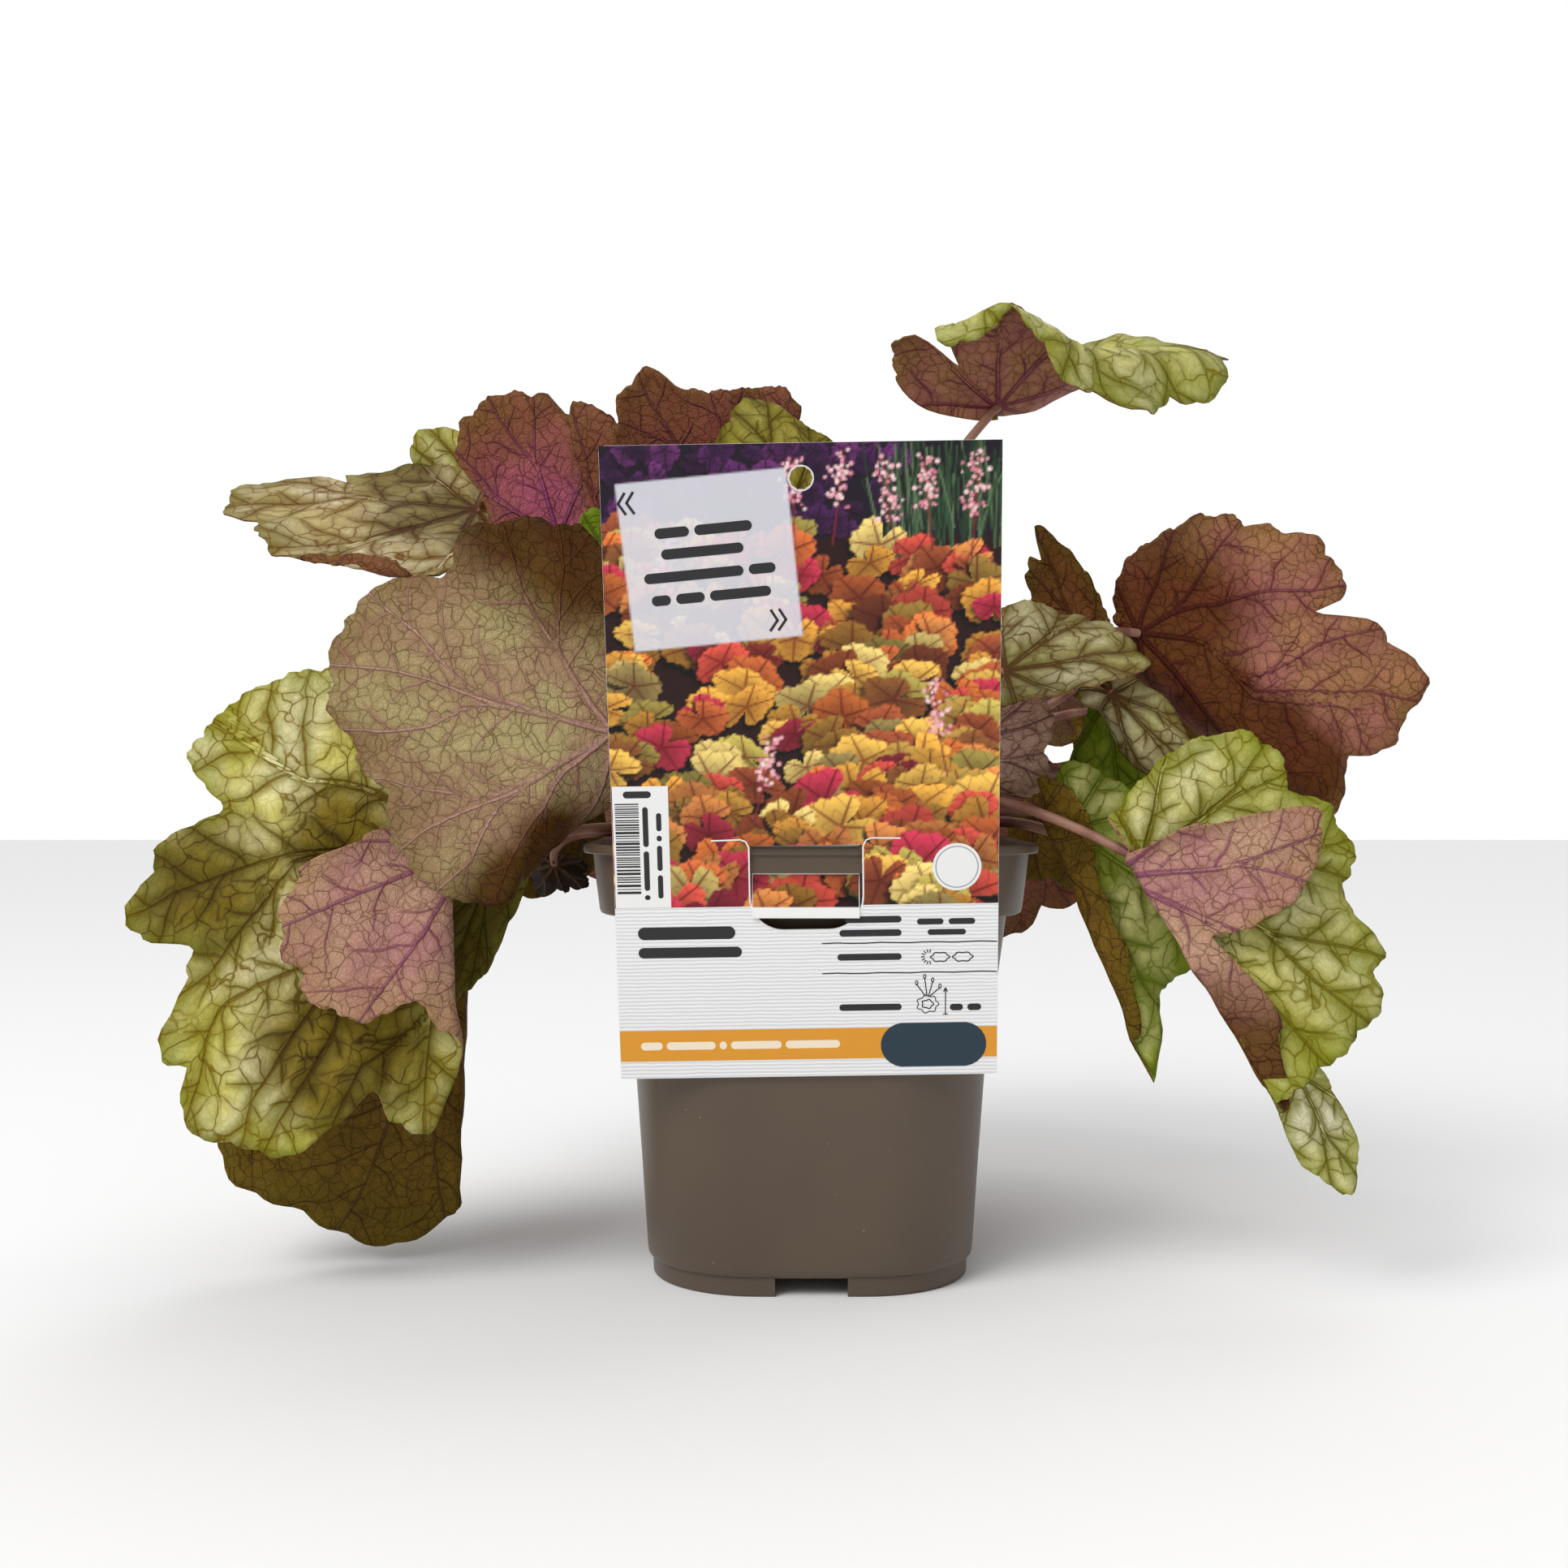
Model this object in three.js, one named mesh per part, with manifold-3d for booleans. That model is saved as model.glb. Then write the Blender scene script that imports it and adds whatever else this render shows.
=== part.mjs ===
import * as THREE from "three";
import { mergeVertices } from "three/addons/utils/BufferGeometryUtils.js";
import Module from "manifold-3d";

// Potted heuchera, millimetres, +Z up, the pot stands on Z = 0, the front is -Y.
// Everything is laid out about the pot's axis, then moved by CENTRE, so that the
// origin lies under the middle of the whole plant's box.
const POT_HEIGHT = 127;
const FLANGE_HALF = 65;
const COLLAR_DROP = 20;
const BASE_HALF = 47.3;
const FOOT_HEIGHT = 5.5;
const NOTCH_WIDTH = 20.5;
const SOIL_TOP = 115;
const CROWN_RADIUS = 22;
const CROWN_TOP = 121;
const LEAF_THICK = 0.7;
const STALK_BASE = 1.7;
const STALK_END = 1.3;
const ROOT_Z = 113;
const FIT = 0.3;
const CARD = [104, 172.3, 0.6];
const CARD_BELOW = 64.2;
const CARD_LEAN = 11.8;
const CARD_ROLL = 0.9;
const HINGE = [-1.8, -66.0, 126.0];
const WINDOW = [30.2, 22];
const PUNCH = [6, 9];
const CENTRE = [3, -26];
const RAD = Math.PI / 180;

const wasm = await Module();
wasm.setup();
const { Manifold, Mesh } = wasm;

// at: where the stalk meets the blade; turn: heading, pitch and roll of the midrib;
// tips: lobe lengths round the blade, the middle one on the midrib, `step` degrees apart;
// bends: [x, y, direction, angle, width] in blade sizes, outer ones first, and where the
// angle grows along the crease, from and to;
// cuts: [angle, depth, width] deeper notches; root: radius and angle on the crown, azimuth, rise.
const leaves = [
  { "name": "leaf_01", "at": [-54, -62, 158], "turn": [184, 19, -86], "size": 82, "wide": 1, "seed": 1,
    "step": 12, "tips": [0.2, 0.2, 0.25, 0.33, 0.45, 0.58, 0.73, 0.8, 0.82, 0.8, 0.86, 0.97, 1.01, 0.94, 0.79, 0.83, 0.77, 0.7, 0.58, 0.5, 0.45, 0.4, 0.35, 0.3, 0.25], "lobe": 0.02, "tooth": 0.012,
    "ruffle": 0.02, "cup": 0, "cuts": [[-34, 0.05, 2.5], [24, 0.03, 3]], "root": [18, 232, 227, 65], "meet": 40, "pull": [0.4, 0.35],
    "bends": [[0.174, -0.336, -181, 60, 0.06, -0.35, 0.15], [0.55, 0, 10, 18, 0.4]], "mesh": [40, 4] },
  { "name": "leaf_02", "at": [-105, -38, 127], "turn": [196, -50, 78], "size": 104, "wide": 1, "seed": 2,
    "step": 12, "tips": [0.2, 0.25, 0.4, 0.58, 0.65, 0.71, 0.74, 0.64, 0.77, 0.86, 0.77, 0.94, 1.02, 0.94, 0.76, 0.79, 0.52, 0.46, 0.57, 0.6, 0.59, 0.54, 0.46, 0.29, 0.2], "lobe": 0.02, "tooth": 0.012,
    "ruffle": 0.03, "cup": 0, "cuts": [[-60, 0.07, 3], [-28, 0.1, 3], [-8.5, 0.03, 2], [25, 0.1, 3], [93, 0.05, 3]], "root": [18, 213, 199, 50], "meet": 20, "pull": [0.5, 0.3],
    "bends": [[0.02, 0.02, 130, 168, 0.07], [0.6, 0, 0, -22, 0.4]], "mesh": [48, 4] },
  { "name": "leaf_03", "at": [-105, -12, 107], "turn": [182, -76, -86], "size": 102, "wide": 1, "seed": 3,
    "step": 24, "tips": [0.3, 0.3, 0.35, 0.5, 0.62, 0.87, 1.03, 1.02, 0.8, 0.6, 0.4, 0.3, 0.3], "lobe": 0.03, "tooth": 0.015,
    "ruffle": 0.03, "cup": 0, "cuts": [], "root": [18, 181, 221, 65], "meet": 20, "pull": [0.6, 0.4],
    "bends": [[0, 0.02, -104, 160, 0.12]], "mesh": [32, 3] },
  { "name": "leaf_04", "at": [-94, -26, 117], "turn": [182, -68, 76], "size": 42, "wide": 0.36, "seed": 4,
    "step": 48, "tips": [0.67, 0.81, 0.95, 1, 0.95, 0.81, 0.67], "lobe": 0.08, "tooth": 0.03,
    "ruffle": 0.05, "cup": 0, "cuts": [], "root": [18, 197, 188, 50], "meet": 40, "pull": [0.4, 0.35],
    "bends": [], "mesh": [18, 2] },
  { "name": "leaf_05", "at": [-102, 0, 228], "turn": [178, 6, 38], "size": 79, "wide": 1, "seed": 5,
    "step": 12, "tips": [0.2, 0.2, 0.2, 0.2, 0.2, 0.2, 0.2, 0.25, 0.33, 0.46, 0.57, 0.84, 0.96, 0.96, 0.84, 0.82, 0.79, 0.74, 0.68, 0.58, 0.4, 0.25, 0.2, 0.2, 0.2], "lobe": 0.02, "tooth": 0.012,
    "ruffle": 0.03, "cup": 0, "cuts": [[-16, 0.22, 3], [20, 0.04, 3]], "root": [12, 178, 180, 60], "meet": 40, "pull": [0.4, 0.35],
    "bends": [[0.1, 0.55, 85, 150, 0.05, -0.62, -0.42]], "mesh": [36, 4] },
  { "name": "leaf_06", "at": [-72, -38, 214], "turn": [180, 72, -86], "size": 47, "wide": 0.85, "seed": 6,
    "step": 12, "tips": [0.3, 0.35, 0.4, 0.4, 0.42, 0.45, 0.48, 0.51, 0.56, 0.85, 0.97, 0.97, 0.95, 0.88, 0.78, 0.5, 0.36, 0.28, 0.25, 0.24, 0.22, 0.2, 0.2, 0.2, 0.2], "lobe": 0.02, "tooth": 0.012,
    "ruffle": 0.05, "cup": 0, "cuts": [[-20, 0.04, 2.5]], "root": [12, 201, 170, 65], "meet": 20, "pull": [0.4, 0.2],
    "bends": [[0, 0.25, 90, 30, 0.3], [0, -0.3, -90, 12, 0.3]], "mesh": [30, 3] },
  { "name": "leaf_07", "at": [-94, 36, 228], "turn": [178, 42, 72], "size": 46, "wide": 0.8, "seed": 7,
    "step": 48, "tips": [0.3, 0.45, 0.8, 1, 0.8, 0.45, 0.3], "lobe": 0.12, "tooth": 0.03,
    "ruffle": 0.05, "cup": 0, "cuts": [], "root": [12, 155, 165, 65], "meet": 40, "pull": [0.4, 0.3],
    "bends": [], "mesh": [20, 3] },
  { "name": "leaf_08", "at": [-60, 20, 215], "turn": [175, 66, -86], "size": 54, "wide": 0.8, "seed": 8,
    "step": 12, "tips": [0.3, 0.3, 0.3, 0.35, 0.35, 0.4, 0.4, 0.5, 0.6, 0.75, 0.95, 1.12, 1.13, 1, 0.9, 0.72, 0.65, 0.6, 0.5, 0.45, 0.4, 0.35, 0.3, 0.3, 0.3], "lobe": 0.02, "tooth": 0.012,
    "ruffle": 0.05, "cup": 0, "cuts": [[4, 0.14, 3]], "root": [6, 160, 163, 72], "meet": 40, "pull": [0.4, 0.35],
    "bends": [], "mesh": [26, 3] },
  { "name": "leaf_09", "at": [-23, -2, 232], "turn": [185, 42, -80], "size": 46, "wide": 1, "seed": 9,
    "step": 12, "tips": [0.3, 0.35, 0.4, 0.5, 0.55, 0.6, 0.65, 0.7, 0.75, 0.8, 0.85, 0.9, 1, 1.03, 0.76, 0.7, 0.7, 0.73, 0.79, 0.74, 0.55, 0.45, 0.4, 0.35, 0.3], "lobe": 0.02, "tooth": 0.012,
    "ruffle": 0.05, "cup": 0, "cuts": [], "root": [6, 220, 152, 80], "meet": 40, "pull": [0.4, 0.35],
    "bends": [[0.3, -0.2, -50, -45, 0.25]], "mesh": [30, 3] },
  { "name": "leaf_10", "at": [-22, 34, 238], "turn": [180, 84, -84], "size": 21, "wide": 1.6, "seed": 10,
    "step": 48, "tips": [0.67, 0.81, 0.95, 1, 0.95, 0.81, 0.67], "lobe": 0.12, "tooth": 0.03,
    "ruffle": 0.05, "cup": 0, "cuts": [], "root": [6, 100, 123, 80], "meet": 40, "pull": [0.4, 0.35],
    "bends": [], "mesh": [20, 3] },
  { "name": "leaf_11", "at": [-5, -16, 226], "turn": [180, 70, 80], "size": 40, "wide": 0.9, "seed": 11,
    "step": 12, "tips": [0.3, 0.35, 0.4, 0.45, 0.5, 0.55, 0.6, 0.62, 0.63, 0.65, 0.73, 0.89, 0.95, 0.92, 0.81, 0.78, 0.7, 0.6, 0.55, 0.5, 0.45, 0.4, 0.35, 0.3, 0.3], "lobe": 0.02, "tooth": 0.012,
    "ruffle": 0.05, "cup": 0, "cuts": [[16, 0.08, 2.5]], "root": [0, 0, 230, 85], "meet": 40, "pull": [0.4, 0.35],
    "bends": [[0.4, 0, 0, -25, 0.4]], "mesh": [26, 3] },
  { "name": "leaf_12", "at": [-57, -48, 202], "turn": [178, 78, 80], "size": 20, "wide": 0.8, "seed": 12,
    "step": 48, "tips": [0.67, 0.81, 0.95, 1, 0.95, 0.81, 0.67], "lobe": 0.13, "tooth": 0.03,
    "ruffle": 0.05, "cup": 0, "cuts": [], "root": [12, 224, 200, 70], "meet": 20, "pull": [0.4, 0.3],
    "bends": [], "mesh": [16, 2] },
  { "name": "leaf_13", "at": [-74, 32, 139], "turn": [200, -60, -60], "size": 36, "wide": 0.9, "seed": 13,
    "step": 48, "tips": [0.2, 0.4, 0.8, 1, 0.8, 0.4, 0.2], "lobe": 0.13, "tooth": 0.03,
    "ruffle": 0.05, "cup": 0, "cuts": [], "root": [18, 163, 128, 45], "meet": 40, "pull": [0.3, 0.2],
    "bends": [], "mesh": [20, 2] },
  { "name": "leaf_14", "at": [57, -8, 258], "turn": [-5, 14, 36], "size": 72, "wide": 1.05, "seed": 14,
    "step": 24, "tips": [0.5, 0.6, 0.6, 0.66, 0.76, 0.84, 0.95, 0.94, 0.8, 0.6, 0.4, 0.25, 0.1], "lobe": 0.06, "tooth": 0.02,
    "ruffle": 0.04, "cup": 0, "cuts": [[-122, 0.55, 9]], "root": [6, 280, 352, 78], "meet": 40, "pull": [0.4, 0.35],
    "bends": [[0.27, -0.2, -45, -105, 0.3], [0.15, 0, 45, 28, 0.2], [0.55, 0.1, 0, -60, 0.5], [-0.2, -0.38, -120, -120, 0.08], [0, -0.04, 106, 62, 0.2], [-0.02, 0, 180, 30, 0.15]], "mesh": [36, 4] },
  { "name": "leaf_15", "at": [89, 13, 188], "turn": [182, 56, -84], "size": 41, "wide": 0.75, "seed": 15,
    "step": 12, "tips": [0.2, 0.2, 0.2, 0.2, 0.25, 0.3, 0.35, 0.4, 0.45, 0.5, 0.6, 0.75, 0.85, 1.02, 0.8, 0.6, 0.45, 0.35, 0.3, 0.25, 0.2, 0.2, 0.2, 0.2, 0.2], "lobe": 0.02, "tooth": 0.012,
    "ruffle": 0.05, "cup": 0, "cuts": [[3, 0.12, 4]], "root": [6, 20, 9, 65], "meet": 20, "pull": [0.4, 0.2],
    "bends": [], "mesh": [24, 3] },
  { "name": "leaf_16", "at": [98, -14, 189], "turn": [-2, -10, 86], "size": 89, "wide": 1, "seed": 16,
    "step": 12, "tips": [0.1, 0.15, 0.2, 0.26, 0.3, 0.36, 0.45, 0.51, 0.58, 0.69, 0.71, 0.81, 0.98, 0.94, 0.86, 0.93, 0.7, 0.5, 0.4, 0.35, 0.3, 0.25, 0.2, 0.2, 0.15], "lobe": 0.02, "tooth": 0.012,
    "ruffle": 0.025, "cup": 0, "cuts": [[-16.5, 0.23, 2.5], [-54, 0.04, 3], [21, 0.04, 4]], "root": [6, 330, 352, 60], "meet": 40, "pull": [0.4, 0.35],
    "bends": [[0, 0.02, 117, 75, 0.12]], "mesh": [48, 4] },
  { "name": "leaf_17", "at": [55, -40, 176], "turn": [-4, 8, -46], "size": 44, "wide": 1, "seed": 17,
    "step": 12, "tips": [0.3, 0.3, 0.3, 0.3, 0.3, 0.32, 0.35, 0.4, 0.45, 0.5, 0.64, 0.8, 0.97, 0.95, 0.85, 0.75, 0.62, 0.6, 0.62, 0.6, 0.5, 0.4, 0.35, 0.3, 0.3], "lobe": 0.02, "tooth": 0.012,
    "ruffle": 0.05, "cup": 0, "cuts": [], "root": [12, 315, 279, 65], "meet": 20, "pull": [0.6, 0.3],
    "bends": [[0.5, 0, 0, -25, 0.4]], "mesh": [32, 3] },
  { "name": "leaf_18", "at": [43, -31, 153], "turn": [0, -8, 84], "size": 27, "wide": 0.85, "seed": 18,
    "step": 12, "tips": [0.4, 0.5, 0.6, 0.7, 0.85, 1, 1.12, 1.18, 1.19, 1.15, 1.05, 0.94, 0.97, 0.96, 0.89, 0.75, 0.6, 0.5, 0.4, 0.35, 0.3, 0.3, 0.3, 0.3, 0.3], "lobe": 0.02, "tooth": 0.012,
    "ruffle": 0.05, "cup": 0, "cuts": [[-10, 0.04, 3]], "root": [12, 290, 315, 62], "meet": 40, "pull": [0.4, 0.35],
    "bends": [], "mesh": [24, 2] },
  { "name": "leaf_19", "at": [99, 29, 167], "turn": [-2, -14, 82], "size": 47, "wide": 0.9, "seed": 19,
    "step": 24, "tips": [0.5, 0.5, 0.45, 0.45, 0.62, 0.9, 0.98, 0.98, 0.9, 0.8, 0.6, 0.4, 0.3], "lobe": 0.05, "tooth": 0.03,
    "ruffle": 0.05, "cup": 0, "cuts": [[-12, -0.12, 8]], "root": [12, 26, 17, 50], "meet": 40, "pull": [0.4, 0.35],
    "bends": [], "mesh": [24, 2] },
  { "name": "leaf_20", "at": [87, -22, 169], "turn": [4, -84, -78], "size": 50, "wide": 0.8, "seed": 20,
    "step": 12, "tips": [0.15, 0.15, 0.15, 0.15, 0.15, 0.15, 0.15, 0.15, 0.22, 0.62, 0.78, 0.85, 0.88, 0.88, 0.8, 0.6, 0.5, 0.4, 0.3, 0.25, 0.2, 0.2, 0.15, 0.15, 0.15], "lobe": 0.02, "tooth": 0.012,
    "ruffle": 0.05, "cup": 0, "cuts": [], "root": [12, 3, 352, 55], "meet": 40, "pull": [0.4, 0.35],
    "bends": [], "mesh": [26, 3] },
  { "name": "leaf_21", "at": [86, -36, 170], "turn": [-8, -48, -64], "size": 36, "wide": 0.6, "seed": 21,
    "step": 48, "tips": [0.3, 0.4, 0.75, 1, 0.75, 0.4, 0.3], "lobe": 0.06, "tooth": 0.03,
    "ruffle": 0.05, "cup": 0, "cuts": [], "root": [12, 340, 343, 55], "meet": 40, "pull": [0.5, 0.4],
    "bends": [[0, -0.05, -90, -80, 0.1]], "mesh": [18, 3] },
  { "name": "leaf_22", "at": [73, -40, 131], "turn": [-6, -70, -72], "size": 68, "wide": 0.95, "seed": 22,
    "step": 12, "tips": [0.28, 0.32, 0.34, 0.34, 0.34, 0.33, 0.32, 0.32, 0.36, 0.46, 0.66, 0.92, 1, 0.78, 0.8, 0.72, 0.62, 0.5, 0.42, 0.38, 0.35, 0.33, 0.3, 0.3, 0.3], "lobe": 0.02, "tooth": 0.012,
    "ruffle": 0.05, "cup": 0, "cuts": [[-3, -0.12, 2.5]], "root": [18, 313, 295, 40], "meet": 20, "pull": [0.5, 0.2],
    "bends": [[0, -0.05, -90, 150, 0.12], [0, 0.2, 90, 40, 0.2]], "mesh": [32, 3] },
  { "name": "leaf_23", "at": [90, -62, 123], "turn": [-8, -33, -74], "size": 80, "wide": 1, "seed": 23,
    "step": 12, "tips": [0.1, 0.14, 0.35, 0.72, 0.68, 0.61, 0.5, 0.4, 0.74, 0.95, 0.9, 0.91, 0.93, 0.88, 0.72, 0.73, 0.68, 0.58, 0.61, 0.6, 0.5, 0.4, 0.3, 0.25, 0.2], "lobe": 0.02, "tooth": 0.012,
    "ruffle": 0.03, "cup": 0, "cuts": [[-58, 0.06, 3], [60, 0.04, 4], [27, 0.05, 3], [8.5, 0.03, 2]], "root": [18, 329, 292, 50], "meet": 20, "pull": [0.6, 0.4],
    "bends": [[-0.02, -0.02, -119, 166, 0.07]], "mesh": [48, 4] },
  { "name": "leaf_24", "at": [76, 44, 135], "turn": [-10, -55, 74], "size": 30, "wide": 1, "seed": 24,
    "step": 48, "tips": [0.2, 0.4, 0.8, 1, 0.8, 0.4, 0.2], "lobe": 0.13, "tooth": 0.03,
    "ruffle": 0.05, "cup": 0, "cuts": [], "root": [18, 30, 22, 45], "meet": 40, "pull": [0.3, 0.2],
    "bends": [], "mesh": [20, 2] },
  { "name": "leaf_25", "at": [137, -42, 63], "turn": [-8, -67, -66], "size": 38, "wide": 0.7, "seed": 25,
    "step": 24, "tips": [0.3, 0.3, 0.3, 0.32, 0.44, 0.78, 1, 0.78, 0.35, 0.3, 0.3, 0.3, 0.3], "lobe": 0.03, "tooth": 0.02,
    "ruffle": 0.05, "cup": 0, "cuts": [], "root": [18, 345, 343, 45], "meet": 40, "pull": [0.6, 0.3],
    "bends": [], "mesh": [20, 3] },
  { "name": "leaf_26", "at": [-58, 66, 186], "turn": [134, -8, 8], "size": 66, "wide": 1.05, "seed": 26,
    "step": 48, "tips": [0.35, 0.6, 0.9, 1, 0.9, 0.6, 0.35], "lobe": 0.13, "tooth": 0.03,
    "ruffle": 0.05, "cup": 0, "cuts": [], "root": [12, 130, 137, 60], "meet": 40, "pull": [0.4, 0.35],
    "bends": [[0.2, 0, 0, -45, 0.6]], "mesh": [18, 3] },
  { "name": "leaf_27", "at": [5, 72, 212], "turn": [92, 5, 0], "size": 68, "wide": 1.05, "seed": 27,
    "step": 48, "tips": [0.35, 0.6, 0.9, 1, 0.9, 0.6, 0.35], "lobe": 0.13, "tooth": 0.03,
    "ruffle": 0.05, "cup": 0, "cuts": [], "root": [12, 80, 86, 68], "meet": 40, "pull": [0.4, 0.35],
    "bends": [[0.2, 0, 0, -60, 0.6]], "mesh": [18, 3] },
  { "name": "leaf_28", "at": [58, 68, 188], "turn": [48, -5, -8], "size": 66, "wide": 1.05, "seed": 28,
    "step": 48, "tips": [0.35, 0.6, 0.9, 1, 0.9, 0.6, 0.35], "lobe": 0.13, "tooth": 0.03,
    "ruffle": 0.05, "cup": 0, "cuts": [], "root": [12, 50, 45, 60], "meet": 40, "pull": [0.4, 0.35],
    "bends": [[0.2, 0, 0, -50, 0.6]], "mesh": [18, 3] },
  { "name": "leaf_29", "at": [-44, 84, 150], "turn": [122, -26, 0], "size": 68, "wide": 1.05, "seed": 29,
    "step": 48, "tips": [0.35, 0.6, 0.9, 1, 0.9, 0.6, 0.35], "lobe": 0.13, "tooth": 0.03,
    "ruffle": 0.05, "cup": 0, "cuts": [], "root": [18, 115, 118, 45], "meet": 40, "pull": [0.4, 0.35],
    "bends": [[0.3, 0, 0, -35, 0.6]], "mesh": [18, 3] },
  { "name": "leaf_30", "at": [48, 82, 136], "turn": [56, -34, 0], "size": 68, "wide": 1.05, "seed": 30,
    "step": 48, "tips": [0.35, 0.6, 0.9, 1, 0.9, 0.6, 0.35], "lobe": 0.13, "tooth": 0.03,
    "ruffle": 0.05, "cup": 0, "cuts": [], "root": [18, 60, 62, 45], "meet": 40, "pull": [0.4, 0.35],
    "bends": [[0.3, 0, 0, -35, 0.6]], "mesh": [18, 3] },
  { "name": "leaf_31", "at": [-84, 40, 158], "turn": [160, -22, 0], "size": 70, "wide": 1.05, "seed": 31,
    "step": 48, "tips": [0.35, 0.6, 0.9, 1, 0.9, 0.6, 0.35], "lobe": 0.13, "tooth": 0.03,
    "ruffle": 0.05, "cup": 0, "cuts": [], "root": [18, 145, 156, 50], "meet": 40, "pull": [0.4, 0.3],
    "bends": [[0.3, 0, 0, -35, 0.6]], "mesh": [18, 3] },
  { "name": "leaf_32", "at": [94, 76, 146], "turn": [40, -26, 0], "size": 70, "wide": 1.05, "seed": 32,
    "step": 48, "tips": [0.35, 0.6, 0.9, 1, 0.9, 0.6, 0.35], "lobe": 0.13, "tooth": 0.03,
    "ruffle": 0.05, "cup": 0, "cuts": [], "root": [18, 10, 26, 50], "meet": 40, "pull": [0.5, 0.3],
    "bends": [[0.3, 0, 0, -35, 0.6]], "mesh": [18, 3] },
  { "name": "withered_leaf", "at": [-79, 8, 119], "turn": [0, -80, 90], "size": 13, "wide": 1.1, "seed": 33,
    "step": 42, "tips": [0.2, 0.3, 0.85, 0.9, 0.75, 0.95, 1, 0.35, 0.2], "lobe": 0.22, "tooth": 0.06,
    "ruffle": 0.12, "cup": 0, "cuts": [], "root": [18, 172, 146, 55], "meet": 40, "pull": [0.3, 0.4],
    "bends": [[0.1, 0.1, 70, 60, 0.3], [0.1, -0.2, -110, 50, 0.3]], "mesh": [18, 2] },
];

function scallop(phi, step, power) {
  const u = phi / step + 0.5;
  return Math.pow(Math.abs(2 * (u - Math.floor(u)) - 1), power);
}

function tipLength(phi, step, tips) {
  const half = (tips.length - 1) / 2;
  const t = Math.min(Math.max(phi / step + half, 0), 2 * half);
  const k = Math.min(Math.floor(t), 2 * half - 1);
  const w = (1 - Math.cos(Math.PI * (t - k))) / 2;
  return tips[k] * (1 - w) + tips[k + 1] * w;
}

function outline(phi, leaf) {
  const s = leaf.seed;
  const step = leaf.step * RAD;
  const q = phi + 0.05 * Math.sin(2 * phi + s) + 0.03 * Math.sin(3 * phi + 1.7 * s);
  let r = tipLength(phi, step, leaf.tips);
  r *= 1 - 0.88 * Math.exp(-Math.pow((Math.PI - Math.abs(phi)) / 0.2, 2));
  r *= 1 - leaf.lobe * scallop(q, step, 2.2);
  r *= 1 - leaf.tooth * scallop(q, step / 3, 1.6);
  for (const [angle, depth, width] of leaf.cuts ?? [])
    r *= 1 - depth * Math.exp(-Math.pow((phi / RAD - angle) / width, 2));
  return r;
}

function flatPoint(rho, phi, leaf) {
  const r = rho * outline(phi, leaf);
  const s = leaf.seed;
  const wave = Math.sin(3 * phi + s) + 0.6 * Math.sin(5 * phi + 2.3 * s + 1);
  return [
    leaf.size * r * Math.cos(phi),
    leaf.size * r * Math.sin(phi) * leaf.wide,
    leaf.size * (leaf.ruffle * Math.pow(rho, 2.5) * wave + leaf.cup * rho * rho),
  ];
}

function bendPoint(p, bend, size) {
  const [ox, oy, across, angle, wide, from, to] = bend;
  const n = [Math.cos(across * RAD), Math.sin(across * RAD)];
  const dx = p[0] - ox * size;
  const dy = p[1] - oy * size;
  const s = dx * n[0] + dy * n[1];
  const g = to === undefined ? 1 : Math.min(Math.max(((dy * n[0] - dx * n[1]) / size - from) / (to - from), 0), 1);
  const theta = angle * RAD * g * g * (3 - 2 * g);
  if (s <= 0 || Math.abs(theta) < 0.001) return p;
  const w = wide * size;
  const R = w / theta;
  const t = Math.min(s / w, 1) * theta;
  const rest = Math.max(s - w, 0);
  const along = (R - p[2]) * Math.sin(t) + rest * Math.cos(t) - s;
  const up = R - (R - p[2]) * Math.cos(t) + rest * Math.sin(t);
  return [p[0] + along * n[0], p[1] + along * n[1], up];
}

function leafAxes(leaf) {
  const [h, p, r] = leaf.turn.map((v) => v * RAD);
  const D = new THREE.Vector3(Math.cos(h) * Math.cos(p), Math.sin(h) * Math.cos(p), Math.sin(p));
  const N0 = new THREE.Vector3(-Math.cos(h) * Math.sin(p), -Math.sin(h) * Math.sin(p), Math.cos(p));
  const S0 = N0.clone().cross(D);
  const N = N0.multiplyScalar(Math.cos(r)).addScaledVector(S0, Math.sin(r));
  return [D, N.clone().cross(D), N];
}

function bladePoint(rho, phi, leaf) {
  let p = flatPoint(rho, phi, leaf);
  for (const bend of leaf.bends) p = bendPoint(p, bend, leaf.size);
  const [D, S, N] = leafAxes(leaf);
  return new THREE.Vector3(...leaf.at)
    .addScaledVector(D, p[0]).addScaledVector(S, p[1]).addScaledVector(N, p[2]);
}

function solid(points, faces) {
  const g = new THREE.BufferGeometry();
  g.setAttribute("position", new THREE.Float32BufferAttribute(points.flat(), 3));
  g.setIndex(faces.flat());
  return g;
}

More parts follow.
